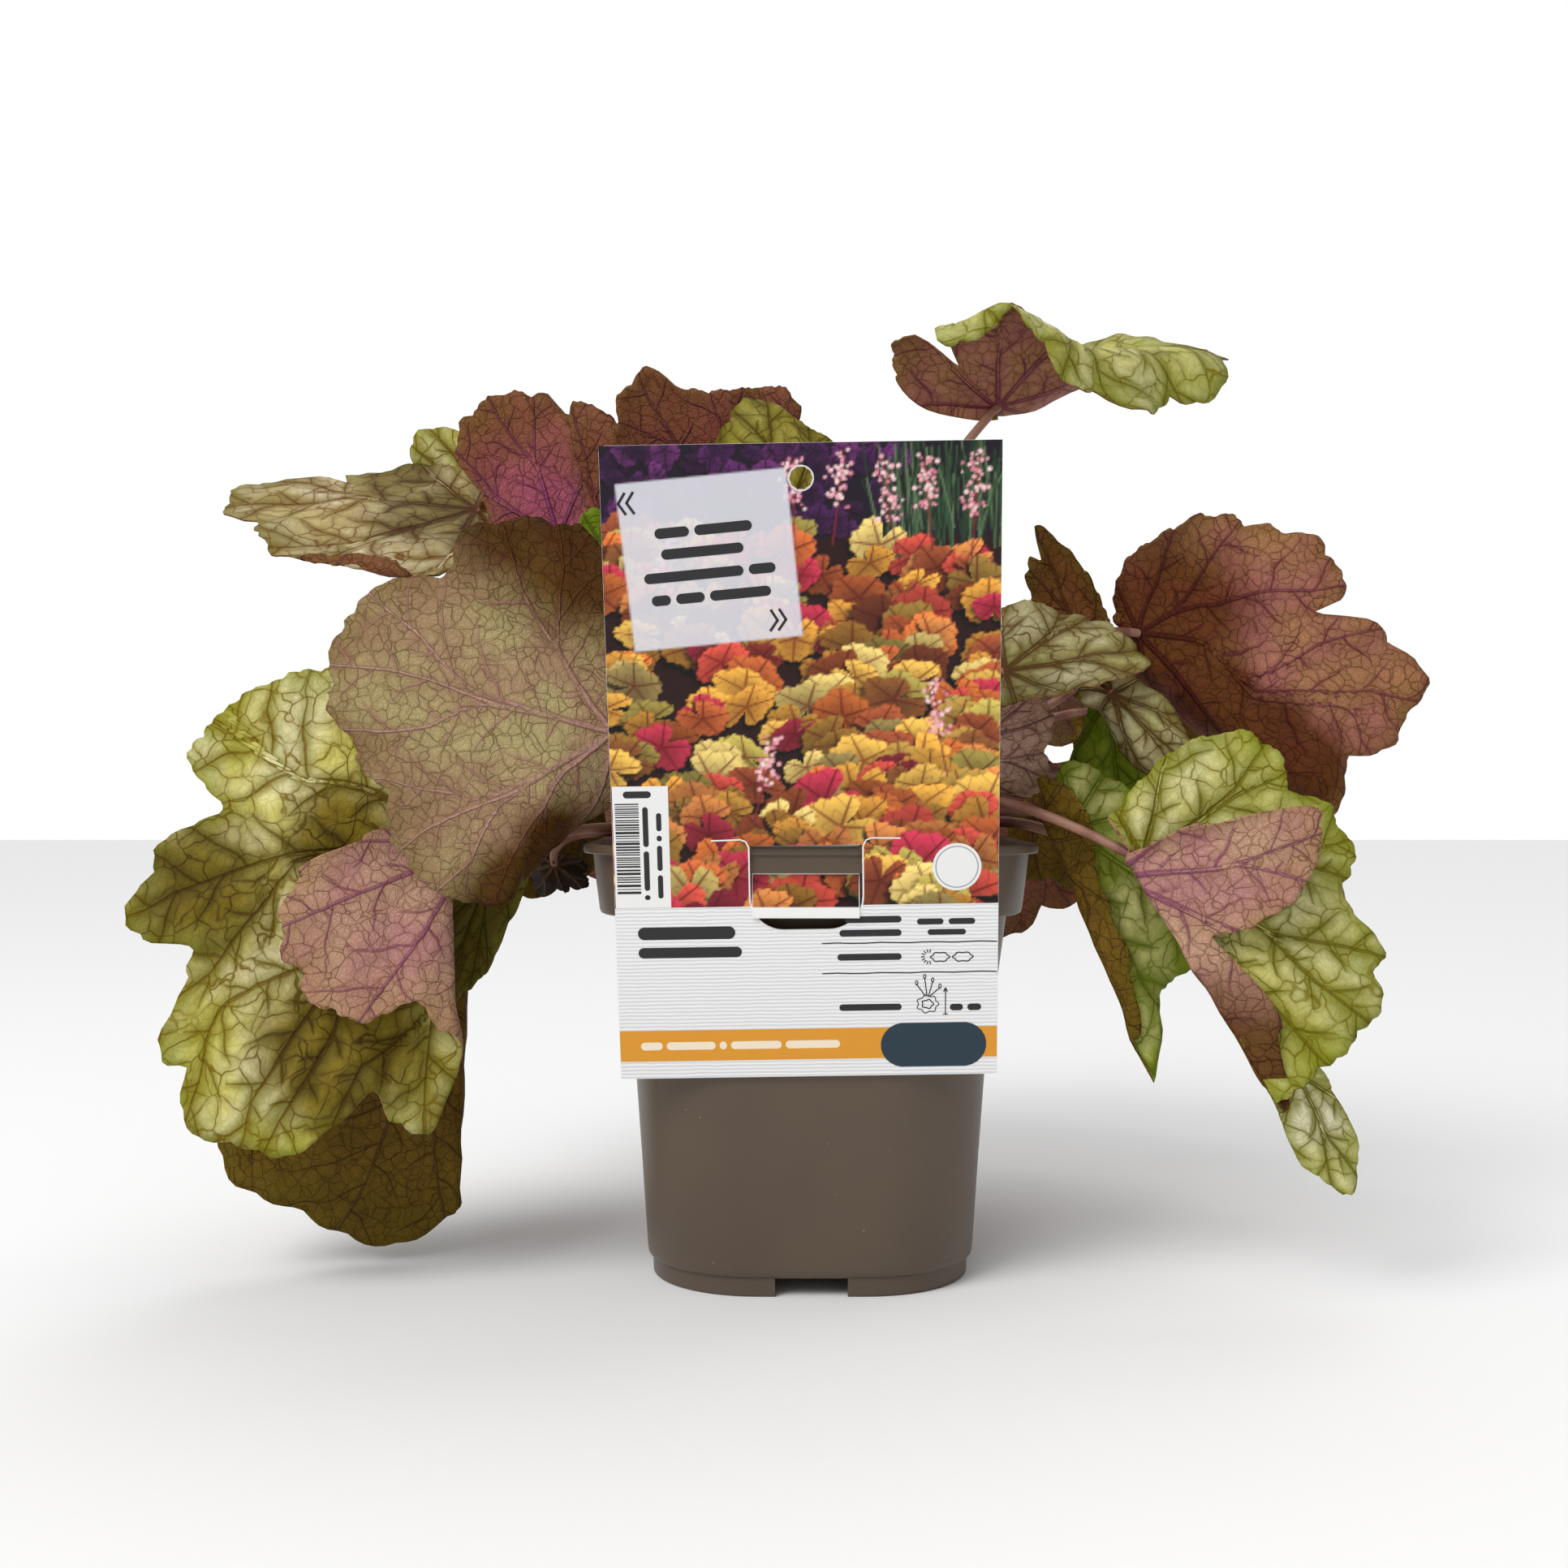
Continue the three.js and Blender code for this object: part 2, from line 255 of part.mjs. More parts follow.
function bladeGeometry(leaf) {
  const [spokes, rings] = leaf.mesh;
  const half = spokes / 2;
  const grid = [bladePoint(0, 0, leaf)];
  const angle = (j) => ((j / spokes) * 2 - 1) * Math.PI;
  for (let j = 0; j < half; j++) grid.push(bladePoint(1 / rings, angle(2 * j + 1), leaf));
  for (let i = 2; i <= rings; i++)
    for (let j = 0; j < spokes; j++) grid.push(bladePoint(i / rings, angle(j + 0.5), leaf));
  const hub = (j) => 1 + (j % half);
  const id = (i, j) => 1 + half + (i - 2) * spokes + (j % spokes);
  const top = [];
  for (let j = 0; j < half; j++) {
    top.push([0, hub(j), hub(j + 1)], [hub(j), id(2, 2 * j), id(2, 2 * j + 1)]);
    top.push([hub(j), id(2, 2 * j + 1), id(2, 2 * j + 2)], [hub(j), id(2, 2 * j + 2), hub(j + 1)]);
  }
  for (let i = 2; i < rings; i++)
    for (let j = 0; j < spokes; j++) {
      top.push([id(i, j), id(i + 1, j), id(i + 1, j + 1)]);
      top.push([id(i, j), id(i + 1, j + 1), id(i, j + 1)]);
    }
  const normals = grid.map(() => new THREE.Vector3());
  for (const [a, b, c] of top) {
    const n = grid[b].clone().sub(grid[a]).cross(grid[c].clone().sub(grid[a]));
    for (const k of [a, b, c]) normals[k].add(n);
  }
  const count = grid.length;
  const points = [];
  for (const side of [1, -1])
    grid.forEach((p, k) => {
      const q = p.clone().addScaledVector(normals[k].normalize(), side * LEAF_THICK / 2);
      points.push([q.x, q.y, q.z]);
    });
  const faces = [...top, ...top.map(([a, b, c]) => [a + count, c + count, b + count])];
  for (let j = 0; j < spokes; j++) {
    const a = id(rings, j);
    const b = id(rings, j + 1);
    faces.push([a, a + count, b + count], [a, b + count, b]);
  }
  return solid(points, faces);
}

function stalkCurve(leaf) {
  const [ring, place, azimuth, rise] = leaf.root;
  const [D, , N] = leafAxes(leaf);
  const B = new THREE.Vector3(ring * Math.cos(place * RAD), ring * Math.sin(place * RAD), ROOT_Z);
  const P = new THREE.Vector3(...leaf.at);
  const out = new THREE.Vector3(
    Math.cos(azimuth * RAD) * Math.cos(rise * RAD),
    Math.sin(azimuth * RAD) * Math.cos(rise * RAD), Math.sin(rise * RAD));
  const span = B.distanceTo(P);
  const back = D.multiplyScalar(Math.cos(leaf.meet * RAD)).addScaledVector(N, Math.sin(leaf.meet * RAD));
  const C1 = B.clone().addScaledVector(out, span * leaf.pull[0]);
  const C2 = P.clone().addScaledVector(back, -span * leaf.pull[1]);
  return new THREE.CubicBezierCurve3(B, C1, C2, P);
}

function tubeGeometry(curve, r0, r1, segments, sides) {
  const points = [];
  const faces = [];
  let side = null;
  for (let i = 0; i <= segments; i++) {
    const t = i / segments;
    const c = curve.getPoint(t);
    const d = curve.getTangent(t);
    side ??= new THREE.Vector3(0, 0, 1).cross(d).lengthSq() > 0.01
      ? new THREE.Vector3(0, 0, 1).cross(d) : new THREE.Vector3(1, 0, 0);
    side = side.clone().addScaledVector(d, -side.dot(d)).normalize();
    const up = d.clone().cross(side);
    const r = r0 + (r1 - r0) * t;
    for (let k = 0; k < sides; k++) {
      const a = 2 * Math.PI * k / sides;
      const q = c.clone().addScaledVector(side, r * Math.cos(a)).addScaledVector(up, r * Math.sin(a));
      points.push([q.x, q.y, q.z]);
    }
  }
  const id = (i, k) => i * sides + (k % sides);
  for (let i = 0; i < segments; i++)
    for (let k = 0; k < sides; k++)
      faces.push([id(i, k), id(i, k + 1), id(i + 1, k + 1)], [id(i, k), id(i + 1, k + 1), id(i + 1, k)]);
  for (let k = 1; k < sides - 1; k++) {
    faces.push([id(0, 0), id(0, k + 1), id(0, k)]);
    faces.push([id(segments, 0), id(segments, k), id(segments, k + 1)]);
  }
  return solid(points, faces);
}

function toManifold(geometry) {
  let g = geometry.clone();
  g.deleteAttribute("normal");
  g.deleteAttribute("uv");
  g = mergeVertices(g, 1e-5);
  return new Manifold(new Mesh({
    numProp: 3,
    vertProperties: new Float32Array(g.attributes.position.array),
    triVerts: new Uint32Array(g.index.array),
  }));
}

function toGeometry(manifold) {
  const mesh = manifold.getMesh();
  const g = new THREE.BufferGeometry();
  g.setAttribute("position", new THREE.BufferAttribute(new Float32Array(mesh.vertProperties), 3));
  g.setIndex(new THREE.BufferAttribute(new Uint32Array(mesh.triVerts), 1));
  return g;
}

function named(name, geometry, colour, roughness = 0.7) {
  const g = geometry.toNonIndexed();
  g.computeVertexNormals();
  const mesh = new THREE.Mesh(g, new THREE.MeshStandardMaterial({ color: colour, roughness }));
  mesh.name = name;
  return mesh;
}

function ringPoints(half, radius, z, arc) {
  const out = [];
  for (let q = 0; q < 4; q++) {
    const a0 = q * 90;
    const cx = (half - radius) * (q === 0 || q === 3 ? 1 : -1);
    const cy = (half - radius) * (q < 2 ? 1 : -1);
    for (let k = 0; k <= arc; k++) {
      const a = (a0 + 90 * k / arc) * RAD;
      out.push([cx + radius * Math.cos(a), cy + radius * Math.sin(a), z]);
    }
  }
  return out;
}

// rings run from the bottom up: [half width, corner radius, z]
function loft(rings) {
  const arc = 4;
  const points = [];
  const faces = [];
  const n = 4 * (arc + 1);
  for (const [half, radius, z] of rings) points.push(...ringPoints(half, radius, z, arc));
  const id = (i, k) => i * n + (k % n);
  for (let i = 0; i < rings.length - 1; i++)
    for (let k = 0; k < n; k++)
      faces.push([id(i, k), id(i, k + 1), id(i + 1, k + 1)], [id(i, k), id(i + 1, k + 1), id(i + 1, k)]);
  const last = rings.length - 1;
  const bottom = points.push([0, 0, rings[0][2]]) - 1;
  const top = points.push([0, 0, rings[last][2]]) - 1;
  for (let k = 0; k < n; k++) {
    faces.push([bottom, id(0, k + 1), id(0, k)]);
    faces.push([top, id(last, k), id(last, k + 1)]);
  }
  return solid(points, faces);
}

function boxAt(x0, x1, y0, y1, z0, z1) {
  return new THREE.BoxGeometry(x1 - x0, y1 - y0, z1 - z0)
    .translate((x0 + x1) / 2, (y0 + y1) / 2, (z0 + z1) / 2);
}

function potGeometry() {
  const step = POT_HEIGHT - COLLAR_DROP;
  const outer = loft([
    [46.0, 31, 0], [46.5, 31, 0.7], [46.7, 31, FOOT_HEIGHT], [BASE_HALF, 31, FOOT_HEIGHT + 0.3],
    [BASE_HALF + 0.7, 31, FOOT_HEIGHT + 2], [51.4, 30, 63], [56.9, 28.5, step],
    [60.3, 28.5, step + 0.1], [60.8, 28.5, step + 1.2], [62.4, 28, POT_HEIGHT - 2.7],
    [64.6, 28.5, POT_HEIGHT - 2.6], [FLANGE_HALF, 28.8, POT_HEIGHT - 1.9],
    [FLANGE_HALF, 28.8, POT_HEIGHT - 0.7], [64.3, 28.4, POT_HEIGHT]]);
  const inner = loft([
    [46.2, 29.8, FOOT_HEIGHT + 1.6], [50.0, 28.6, 63], [55.5, 27.1, step + 0.6],
    [59.4, 27.1, step + 1.4], [61.0, 26.7, POT_HEIGHT - 2.7], [61.3, 26.9, POT_HEIGHT + 1]]);
  const under = loft([[43.4, 28, -1], [43.8, 28, FOOT_HEIGHT - 0.2]]);
  let pot = toManifold(outer).subtract(toManifold(inner)).subtract(toManifold(under));
  const half = NOTCH_WIDTH / 2;
  for (const turn of [0, 90, 180, 270]) {
    const notch = boxAt(-half, half, 40, 60, -1, FOOT_HEIGHT - 0.2).rotateZ(turn * RAD);
    pot = pot.subtract(toManifold(notch));
  }
  for (const [x, y] of [[28, 28], [-28, 28], [28, -28], [-28, -28], [0, 0]]) {
    const hole = new THREE.CylinderGeometry(4, 4, 8, 12).rotateX(Math.PI / 2).translate(x, y, FOOT_HEIGHT);
    pot = pot.subtract(toManifold(hole));
  }
  const back = boxAt(-20.5, 20.5, -62, -60.2, SOIL_TOP + 1, POT_HEIGHT - 0.6);
  const strap = boxAt(-20.5, 20.5, -64.1, -61.6, POT_HEIGHT - 7.2, POT_HEIGHT - 2.4);
  const slot = boxAt(-17.6, 17.6, -63.2, -61.7, SOIL_TOP + 1.5, POT_HEIGHT + 2);
  pot = pot.add(toManifold(back)).add(toManifold(strap)).subtract(toManifold(slot));
  return toGeometry(pot);
}

function lumps(seed) {
  return (x, y) => Math.sin(0.21 * x + seed) * Math.cos(0.19 * y - seed) + 0.5 * Math.sin(0.4 * (x + y) + seed);
}

function soilGeometry() {
  const rise = lumps(2);
  const points = [];
  const faces = [];
  const arc = 4;
  const n = 4 * (arc + 1);
  const rings = [
    [45.8, 29.4, FOOT_HEIGHT + 1.9], [49.6, 28.2, 63], [55.0, 26.7, 107.3], [55.0, 26.7, 108.9],
    [59.1, 26.8, 109.1], [59.5, 26.6, SOIL_TOP - 1.2], [58.0, 26, SOIL_TOP], [40, 22, SOIL_TOP], [26, 20, SOIL_TOP]];
  for (const [half, radius, z] of rings)
    points.push(...ringPoints(half, radius, z, arc).map(([x, y, h]) =>
      [x, y, h >= SOIL_TOP ? h + 0.6 * rise(x, y) - 0.4 : h]));
  const id = (i, k) => i * n + (k % n);
  for (let i = 0; i < rings.length - 1; i++)
    for (let k = 0; k < n; k++)
      faces.push([id(i, k), id(i, k + 1), id(i + 1, k + 1)], [id(i, k), id(i + 1, k + 1), id(i + 1, k)]);
  const last = rings.length - 1;
  const bottom = points.push([0, 0, rings[0][2]]) - 1;
  const top = points.push([0, 0, SOIL_TOP]) - 1;
  for (let k = 0; k < n; k++) {
    faces.push([bottom, id(0, k + 1), id(0, k)]);
    faces.push([top, id(last, k), id(last, k + 1)]);
  }
  const socket = new THREE.CylinderGeometry(CROWN_RADIUS + 3, CROWN_RADIUS + 1, 12, 20)
    .rotateX(Math.PI / 2).translate(0, 0, SOIL_TOP - 2);
  return toGeometry(toManifold(solid(points, faces)).subtract(toManifold(socket)));
}

function crownGeometry(stalks) {
  const rise = lumps(5);
  const profile = [[0.6, 109.3], [0.97, 109.5], [1, 113], [0.92, 117.5], [0.7, 120.2], [0.38, CROWN_TOP]];
  const points = [];
  const faces = [];
  const n = 16;
  for (const [part, z] of profile)
    for (let k = 0; k < n; k++) {
      const a = 2 * Math.PI * k / n;
      const r = CROWN_RADIUS * part * (1 + 0.05 * Math.sin(5 * a + z));
      const x = r * Math.cos(a);
      const y = r * Math.sin(a);
      points.push([x, y, z > 115 ? z + 0.9 * rise(2 * x, 2 * y) : z]);
    }
  const id = (i, k) => i * n + (k % n);
  for (let i = 0; i < profile.length - 1; i++)
    for (let k = 0; k < n; k++)
      faces.push([id(i, k), id(i, k + 1), id(i + 1, k + 1)], [id(i, k), id(i + 1, k + 1), id(i + 1, k)]);
  const last = profile.length - 1;
  const bottom = points.push([0, 0, profile[0][1]]) - 1;
  const top = points.push([0, 0, CROWN_TOP + 0.5]) - 1;
  for (let k = 0; k < n; k++) {
    faces.push([bottom, id(0, k + 1), id(0, k)]);
    faces.push([top, id(last, k), id(last, k + 1)]);
  }
  let crown = toManifold(solid(points, faces));
  for (const stalk of stalks) crown = crown.subtract(stalk);
  return toGeometry(crown);
}

function roundedRect(x0, x1, y0, y1, r) {
  const shape = new THREE.Shape();
  const corner = (x, y, a) => shape.absarc(x, y, r, a * RAD, (a + 90) * RAD, false);
  corner(x1 - r, y1 - r, 0);
  corner(x0 + r, y1 - r, 90);
  corner(x0 + r, y0 + r, 180);
  corner(x1 - r, y0 + r, 270);
  shape.closePath();
  return shape;
}

function labelGeometry() {
  const [wide, high, thick] = CARD;
  const top = high - CARD_BELOW;
  const shape = roundedRect(-wide / 2, wide / 2, -CARD_BELOW, top, 1.5);
  const hole = new THREE.Path();
  hole.absarc(0, top - PUNCH[1], PUNCH[0] / 2, 0, 2 * Math.PI, true);
  shape.holes.push(hole);
  const half = WINDOW[0] / 2;
  const open = new THREE.Path();
  open.moveTo(half, 1.6);
  open.lineTo(-half, 1.6);
  open.absarc(-half + 9, -WINDOW[1] + 9, 9, Math.PI, 1.5 * Math.PI, false);
  open.absarc(half - 9, -WINDOW[1] + 9, 9, 1.5 * Math.PI, 2 * Math.PI, false);
  open.closePath();
  shape.holes.push(open);
  const card = new THREE.ExtrudeGeometry(shape, { depth: thick, bevelEnabled: false, curveSegments: 5 })
    .translate(0, 0, -thick / 2).rotateX(Math.PI / 2)
    .rotateY(-CARD_ROLL * RAD).rotateX(CARD_LEAN * RAD).translate(...HINGE);
  const path = [[-66.6, 127.9], [-65.0, 128.3], [-63.2, 127.9], [-62.5, 126.4], [-62.4, 118], [-63.0, 112], [-63.1, 107.6]];
  const outer = path.map(([y, z]) => [y, z]);
  const strip = new THREE.Shape();
  const normal = (k) => {
    const a = outer[Math.max(k - 1, 0)];
    const b = outer[Math.min(k + 1, outer.length - 1)];
    const l = Math.hypot(b[0] - a[0], b[1] - a[1]);
    return [-(b[1] - a[1]) / l, (b[0] - a[0]) / l];
  };
  const side = (sign) => outer.map(([y, z], k) => {
    const n = normal(k);
    return new THREE.Vector2(y + sign * n[0] * thick / 2, z + sign * n[1] * thick / 2);
  });
  strip.setFromPoints([...side(1), ...side(-1).reverse()]);
  const tongue = new THREE.ExtrudeGeometry(strip, { depth: WINDOW[0] - 1, bevelEnabled: false })
    .rotateX(Math.PI / 2).rotateZ(Math.PI / 2).translate(HINGE[0] - (WINDOW[0] - 1) / 2, 0, 0);
  return toGeometry(toManifold(card).add(toManifold(tongue)));
}

const parts = new THREE.Group();
parts.name = "heuchera";
parts.add(named("pot", potGeometry(), 0x6b6259, 0.75));
parts.add(named("soil", soilGeometry(), 0x2a211a, 1));
const sockets = leaves.map((leaf) =>
  toManifold(tubeGeometry(stalkCurve(leaf), STALK_BASE + FIT, STALK_END + FIT, 6, 5)));
parts.add(named("crown", crownGeometry(sockets), 0x4a3626, 1));
parts.add(named("label", labelGeometry(), 0xe9e6e2, 0.5));
for (const leaf of leaves) {
  const blade = toManifold(bladeGeometry(leaf));
  const stalk = toManifold(tubeGeometry(stalkCurve(leaf), STALK_BASE, STALK_END, 6, 5));
  const colour = leaf.name === "withered_leaf" ? 0x2e1c12 : leaf.turn[2] < -60 ? 0x8f6a58 : 0x9aa35c;
  parts.add(named(leaf.name, toGeometry(blade.add(stalk)), colour, 0.6));
}
for (const mesh of parts.children) mesh.geometry.translate(...CENTRE, 0);

export default parts;
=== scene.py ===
import math
import random

import bpy
import numpy as np
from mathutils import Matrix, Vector


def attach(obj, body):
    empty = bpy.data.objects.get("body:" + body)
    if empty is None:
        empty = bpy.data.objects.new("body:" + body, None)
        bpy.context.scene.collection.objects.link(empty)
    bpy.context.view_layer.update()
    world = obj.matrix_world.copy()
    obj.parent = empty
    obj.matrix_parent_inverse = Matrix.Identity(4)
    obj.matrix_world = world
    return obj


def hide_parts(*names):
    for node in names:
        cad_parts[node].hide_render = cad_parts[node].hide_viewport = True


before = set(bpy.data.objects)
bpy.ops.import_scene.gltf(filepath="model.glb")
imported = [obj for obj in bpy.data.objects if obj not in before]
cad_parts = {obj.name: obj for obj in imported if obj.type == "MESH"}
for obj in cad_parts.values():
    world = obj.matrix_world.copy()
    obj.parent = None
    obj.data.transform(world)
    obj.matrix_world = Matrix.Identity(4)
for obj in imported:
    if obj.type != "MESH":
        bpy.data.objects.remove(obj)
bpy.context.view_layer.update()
scene = bpy.context.scene
bpy.ops.object.select_all(action="DESELECT")

# Sizes are in millimetres; CENTRE is the pot's axis in the row frame.
MM = 0.001
CENTRE = np.array([3.0, -26.0, 0.0])
ROOT_Z = 113.0
LEAF_THICK = 0.5
STALK_BASE = 1.7
STALK_END = 1.3

# at, size and the root's radius are in millimetres, other lengths in blade sizes, angles in degrees.
# tips are the lobe lengths round the blade, one at every step, the middle one on the midrib; wide
# stretches the blade sideways; lobe, tooth and ruffle are depths. cuts are deeper notches: angle,
# depth, width. bends are creases, made one after the other: x, y, direction, angle, width, and where
# along the crease the angle grows, from and to. root is the radius and the angle on the crown, then
# the stalk's azimuth and rise; meet and pull say how the stalk runs into the blade. core
# is how pale the middle of the veins is painted underneath, a painted highlight along their ridges.
# tint is the face, the colour, and its soft round places in the flat blade: x, y, radius
# where it is full and where it ends. Mostly it is painted shade, darker where folds, valleys and
# turned-away parts lie in shade; on a few leaves it is a plain change of colour.
FOLDED = dict(step=12, wide=1, lobe=.02, tooth=.012, ruffle=.05, cuts=(), bends=(), meet=40, pull=(.4, .35),
              core=.06, tint=("", (0, 0, 0), ()))
SPREAD = dict(FOLDED, tips=(.35, .6, .9, 1, .9, .6, .35), step=48, lobe=.13, tooth=.03)
LEAVES = []


def leaf(kind, at, turn, size, top, under, **form):
    """A leaf by the end of its stalk, the heading, pitch and roll of its midrib, and its two faces."""
    number = len(LEAVES) + 1
    LEAVES.append(dict(kind, at=np.array(at, float), turn=turn, size=size, top=top, under=under,
                       seed=number, name=f"leaf_{number:02d}", **form))


leaf(FOLDED, (-54, -62, 158), (184, 19, -86), 82, "lime", "tan", tips=(.2, .2, .25, .33, .45, .58, .73, .8,
     .82, .8, .86, .97, 1.01, .94, .79, .83, .77, .7, .58, .5, .45, .4, .35, .3, .25), ruffle=.02,
     cuts=((-34, .05, 2.5), (24, .03, 3)),
     bends=((.174, -.336, -181, 60, .06, -.35, .15), (.55, 0, 10, 18, .4)), root=(18, 232, 227, 65),
     tint=("under", (92, 64, 14), ((.2, 1.2, .76, 1.1), (.05, -.42, .05, .24), (.12, -.62, .1, .26))),
     core=.36)
leaf(FOLDED, (-105, -38, 127), (196, -50, 78), 104, "lime", "rose", tips=(.2, .25, .4, .58, .65, .71, .74,
     .64, .77, .86, .77, .94, 1.02, .94, .76, .79, .52, .46, .57, .6, .59, .54, .46, .29, .2), ruffle=.03,
     cuts=((-60, .07, 3), (-28, .1, 3), (-8.5, .03, 2), (25, .1, 3), (93, .05, 3)),
     bends=((.02, .02, 130, 168, .07), (.6, 0, 0, -22, .4)), root=(18, 213, 199, 50), meet=20,
     pull=(.5, .3), tint=("top", (142, 122, 40), ((.58, .15, .1, .34), (.17, -.2, .06, .26), (.5, -.42, 0,
     .36), (.5, .6, 0, .3))))
leaf(FOLDED, (-105, -12, 107), (182, -76, -86), 102, "olive", "umber",
     tips=(.3, .3, .35, .5, .62, .87, 1.03, 1.02, .8, .6, .4, .3, .3), step=24, lobe=.03, tooth=.015,
     ruffle=.03, bends=((0, .02, -104, 160, .12),), root=(18, 181, 221, 65), meet=20, pull=(.6, .4))
leaf(SPREAD, (-94, -26, 117), (182, -68, 76), 42, "olive", "umber", tips=(.67, .81, .95, 1, .95, .81, .67),
     wide=.36, lobe=.08, root=(18, 197, 188, 50))
leaf(FOLDED, (-102, 0, 228), (178, 6, 38), 79, "cream", "plum", tips=(.2, .2, .2, .2, .2, .2, .2, .25, .33,
     .46, .57, .84, .96, .96, .84, .82, .79, .74, .68, .58, .4, .25, .2, .2, .2), ruffle=.03,
     cuts=((-16, .22, 3), (20, .04, 3)), bends=((.1, .55, 85, 150, .05, -.62, -.42),),
     root=(12, 178, 180, 60), tint=("top", (140, 124, 76), ((.15, .08, .08, .36), (.35, -.15, .05, .25))))
leaf(FOLDED, (-72, -38, 214), (180, 72, -86), 47, "lime", "plum", tips=(.3, .35, .4, .4, .42, .45, .48, .51,
     .56, .85, .97, .97, .95, .88, .78, .5, .36, .28, .25, .24, .22, .2, .2, .2, .2), wide=.85,
     cuts=((-20, .04, 2.5),), bends=((0, .25, 90, 30, .3), (0, -.3, -90, 12, .3)), root=(12, 201, 170, 65),
     meet=20, pull=(.4, .2), tint=("under", (156, 84, 88), ((.1, -.05, .12, .8),)))
leaf(SPREAD, (-94, 36, 228), (178, 42, 72), 46, "lime", "plum", tips=(.3, .45, .8, 1, .8, .45, .3), wide=.8,
     lobe=.12, root=(12, 155, 165, 65), pull=(.4, .3))
leaf(FOLDED, (-60, 20, 215), (175, 66, -86), 54, "lime", "plum", tips=(.3, .3, .3, .35, .35, .4, .4, .5, .6,
     .75, .95, 1.12, 1.13, 1, .9, .72, .65, .6, .5, .45, .4, .35, .3, .3, .3), wide=.8, cuts=((4, .14, 3),),
     root=(6, 160, 163, 72))
leaf(FOLDED, (-23, -2, 232), (185, 42, -80), 46, "cream", "plum", tips=(.3, .35, .4, .5, .55, .6, .65, .7,
     .75, .8, .85, .9, 1, 1.03, .76, .7, .7, .73, .79, .74, .55, .45, .4, .35, .3),
     bends=((.3, -.2, -50, -45, .25),), root=(6, 220, 152, 80))
leaf(SPREAD, (-22, 34, 238), (180, 84, -84), 21, "cream", "plum", tips=(.67, .81, .95, 1, .95, .81, .67),
     wide=1.6, lobe=.12, root=(6, 100, 123, 80))
leaf(FOLDED, (-5, -16, 226), (180, 70, 80), 40, "lime", "plum", tips=(.3, .35, .4, .45, .5, .55, .6, .62,
     .63, .65, .73, .89, .95, .92, .81, .78, .7, .6, .55, .5, .45, .4, .35, .3, .3), wide=.9,
     cuts=((16, .08, 2.5),), bends=((.4, 0, 0, -25, .4),), root=(0, 0, 230, 85),
     tint=("top", (184, 172, 88), ((0, 0, 2, 3),)))
leaf(SPREAD, (-57, -48, 202), (178, 78, 80), 20, "green", "umber", tips=(.67, .81, .95, 1, .95, .81, .67),
     wide=.8, root=(12, 224, 200, 70), meet=20, pull=(.4, .3))
leaf(SPREAD, (-74, 32, 139), (200, -60, -60), 36, "olive", "umber", tips=(.2, .4, .8, 1, .8, .4, .2),
     wide=.9, root=(18, 163, 128, 45), pull=(.3, .2))
leaf(FOLDED, (57, -8, 258), (-5, 14, 36), 72, "mint", "brown",
     tips=(.5, .6, .6, .66, .76, .84, .95, .94, .8, .6, .4, .25, .1), step=24, wide=1.05, lobe=.06,
     tooth=.02, ruffle=.04, cuts=((-122, .55, 9),), bends=((.27, -.2, -45, -105, .3), (.15, 0, 45, 28, .2),
     (.55, .1, 0, -60, .5), (-.2, -.38, -120, -120, .08), (0, -.04, 106, 62, .2), (-.02, 0, 180, 30, .15)),
     root=(6, 280, 352, 78))
leaf(FOLDED, (89, 13, 188), (182, 56, -84), 41, "olive", "rust", tips=(.2, .2, .2, .2, .25, .3, .35, .4,
     .45, .5, .6, .75, .85, 1.02, .8, .6, .45, .35, .3, .25, .2, .2, .2, .2, .2), wide=.75,
     cuts=((3, .12, 4),), root=(6, 20, 9, 65), meet=20, pull=(.4, .2))
leaf(FOLDED, (98, -14, 189), (-2, -10, 86), 89, "lime", "brown", tips=(.1, .15, .2, .26, .3, .36, .45, .51,
     .58, .69, .71, .81, .98, .94, .86, .93, .7, .5, .4, .35, .3, .25, .2, .2, .15), ruffle=.025,
     cuts=((-16.5, .23, 2.5), (-54, .04, 3), (21, .04, 4)), bends=((0, .02, 117, 75, .12),),
     root=(6, 330, 352, 60), tint=("under", (104, 60, 20), ((.08, -.06, .1, .45), (.28, .16, .08, .24),
     (.48, .28, .08, .24), (.62, .36, .08, .24))))
leaf(FOLDED, (55, -40, 176), (-4, 8, -46), 44, "striped", "brown", tips=(.3, .3, .3, .3, .3, .32, .35, .4,
     .45, .5, .64, .8, .97, .95, .85, .75, .62, .6, .62, .6, .5, .4, .35, .3, .3),
     bends=((.5, 0, 0, -25, .4),), root=(12, 315, 279, 65), meet=20, pull=(.6, .3))
leaf(FOLDED, (43, -31, 153), (0, -8, 84), 27, "lime", "grey", tips=(.4, .5, .6, .7, .85, 1, 1.12, 1.18,
     1.19, 1.15, 1.05, .94, .97, .96, .89, .75, .6, .5, .4, .35, .3, .3, .3, .3, .3), wide=.85,
     cuts=((-10, .04, 3),), root=(12, 290, 315, 62))
leaf(FOLDED, (99, 29, 167), (-2, -14, 82), 47, "olive", "umber",
     tips=(.5, .5, .45, .45, .62, .9, .98, .98, .9, .8, .6, .4, .3), step=24, wide=.9, lobe=.05, tooth=.03,
     cuts=((-12, -.12, 8),), root=(12, 26, 17, 50))
leaf(FOLDED, (87, -22, 169), (4, -84, -78), 50, "green", "umber", tips=(.15, .15, .15, .15, .15, .15, .15,
     .15, .22, .62, .78, .85, .88, .88, .8, .6, .5, .4, .3, .25, .2, .2, .15, .15, .15), wide=.8,
     root=(12, 3, 352, 55))
leaf(SPREAD, (86, -36, 170), (-8, -48, -64), 36, "striped", "umber", tips=(.3, .4, .75, 1, .75, .4, .3),
     wide=.6, lobe=.06, bends=((0, -.05, -90, -80, .1),), root=(12, 340, 343, 55), pull=(.5, .4))
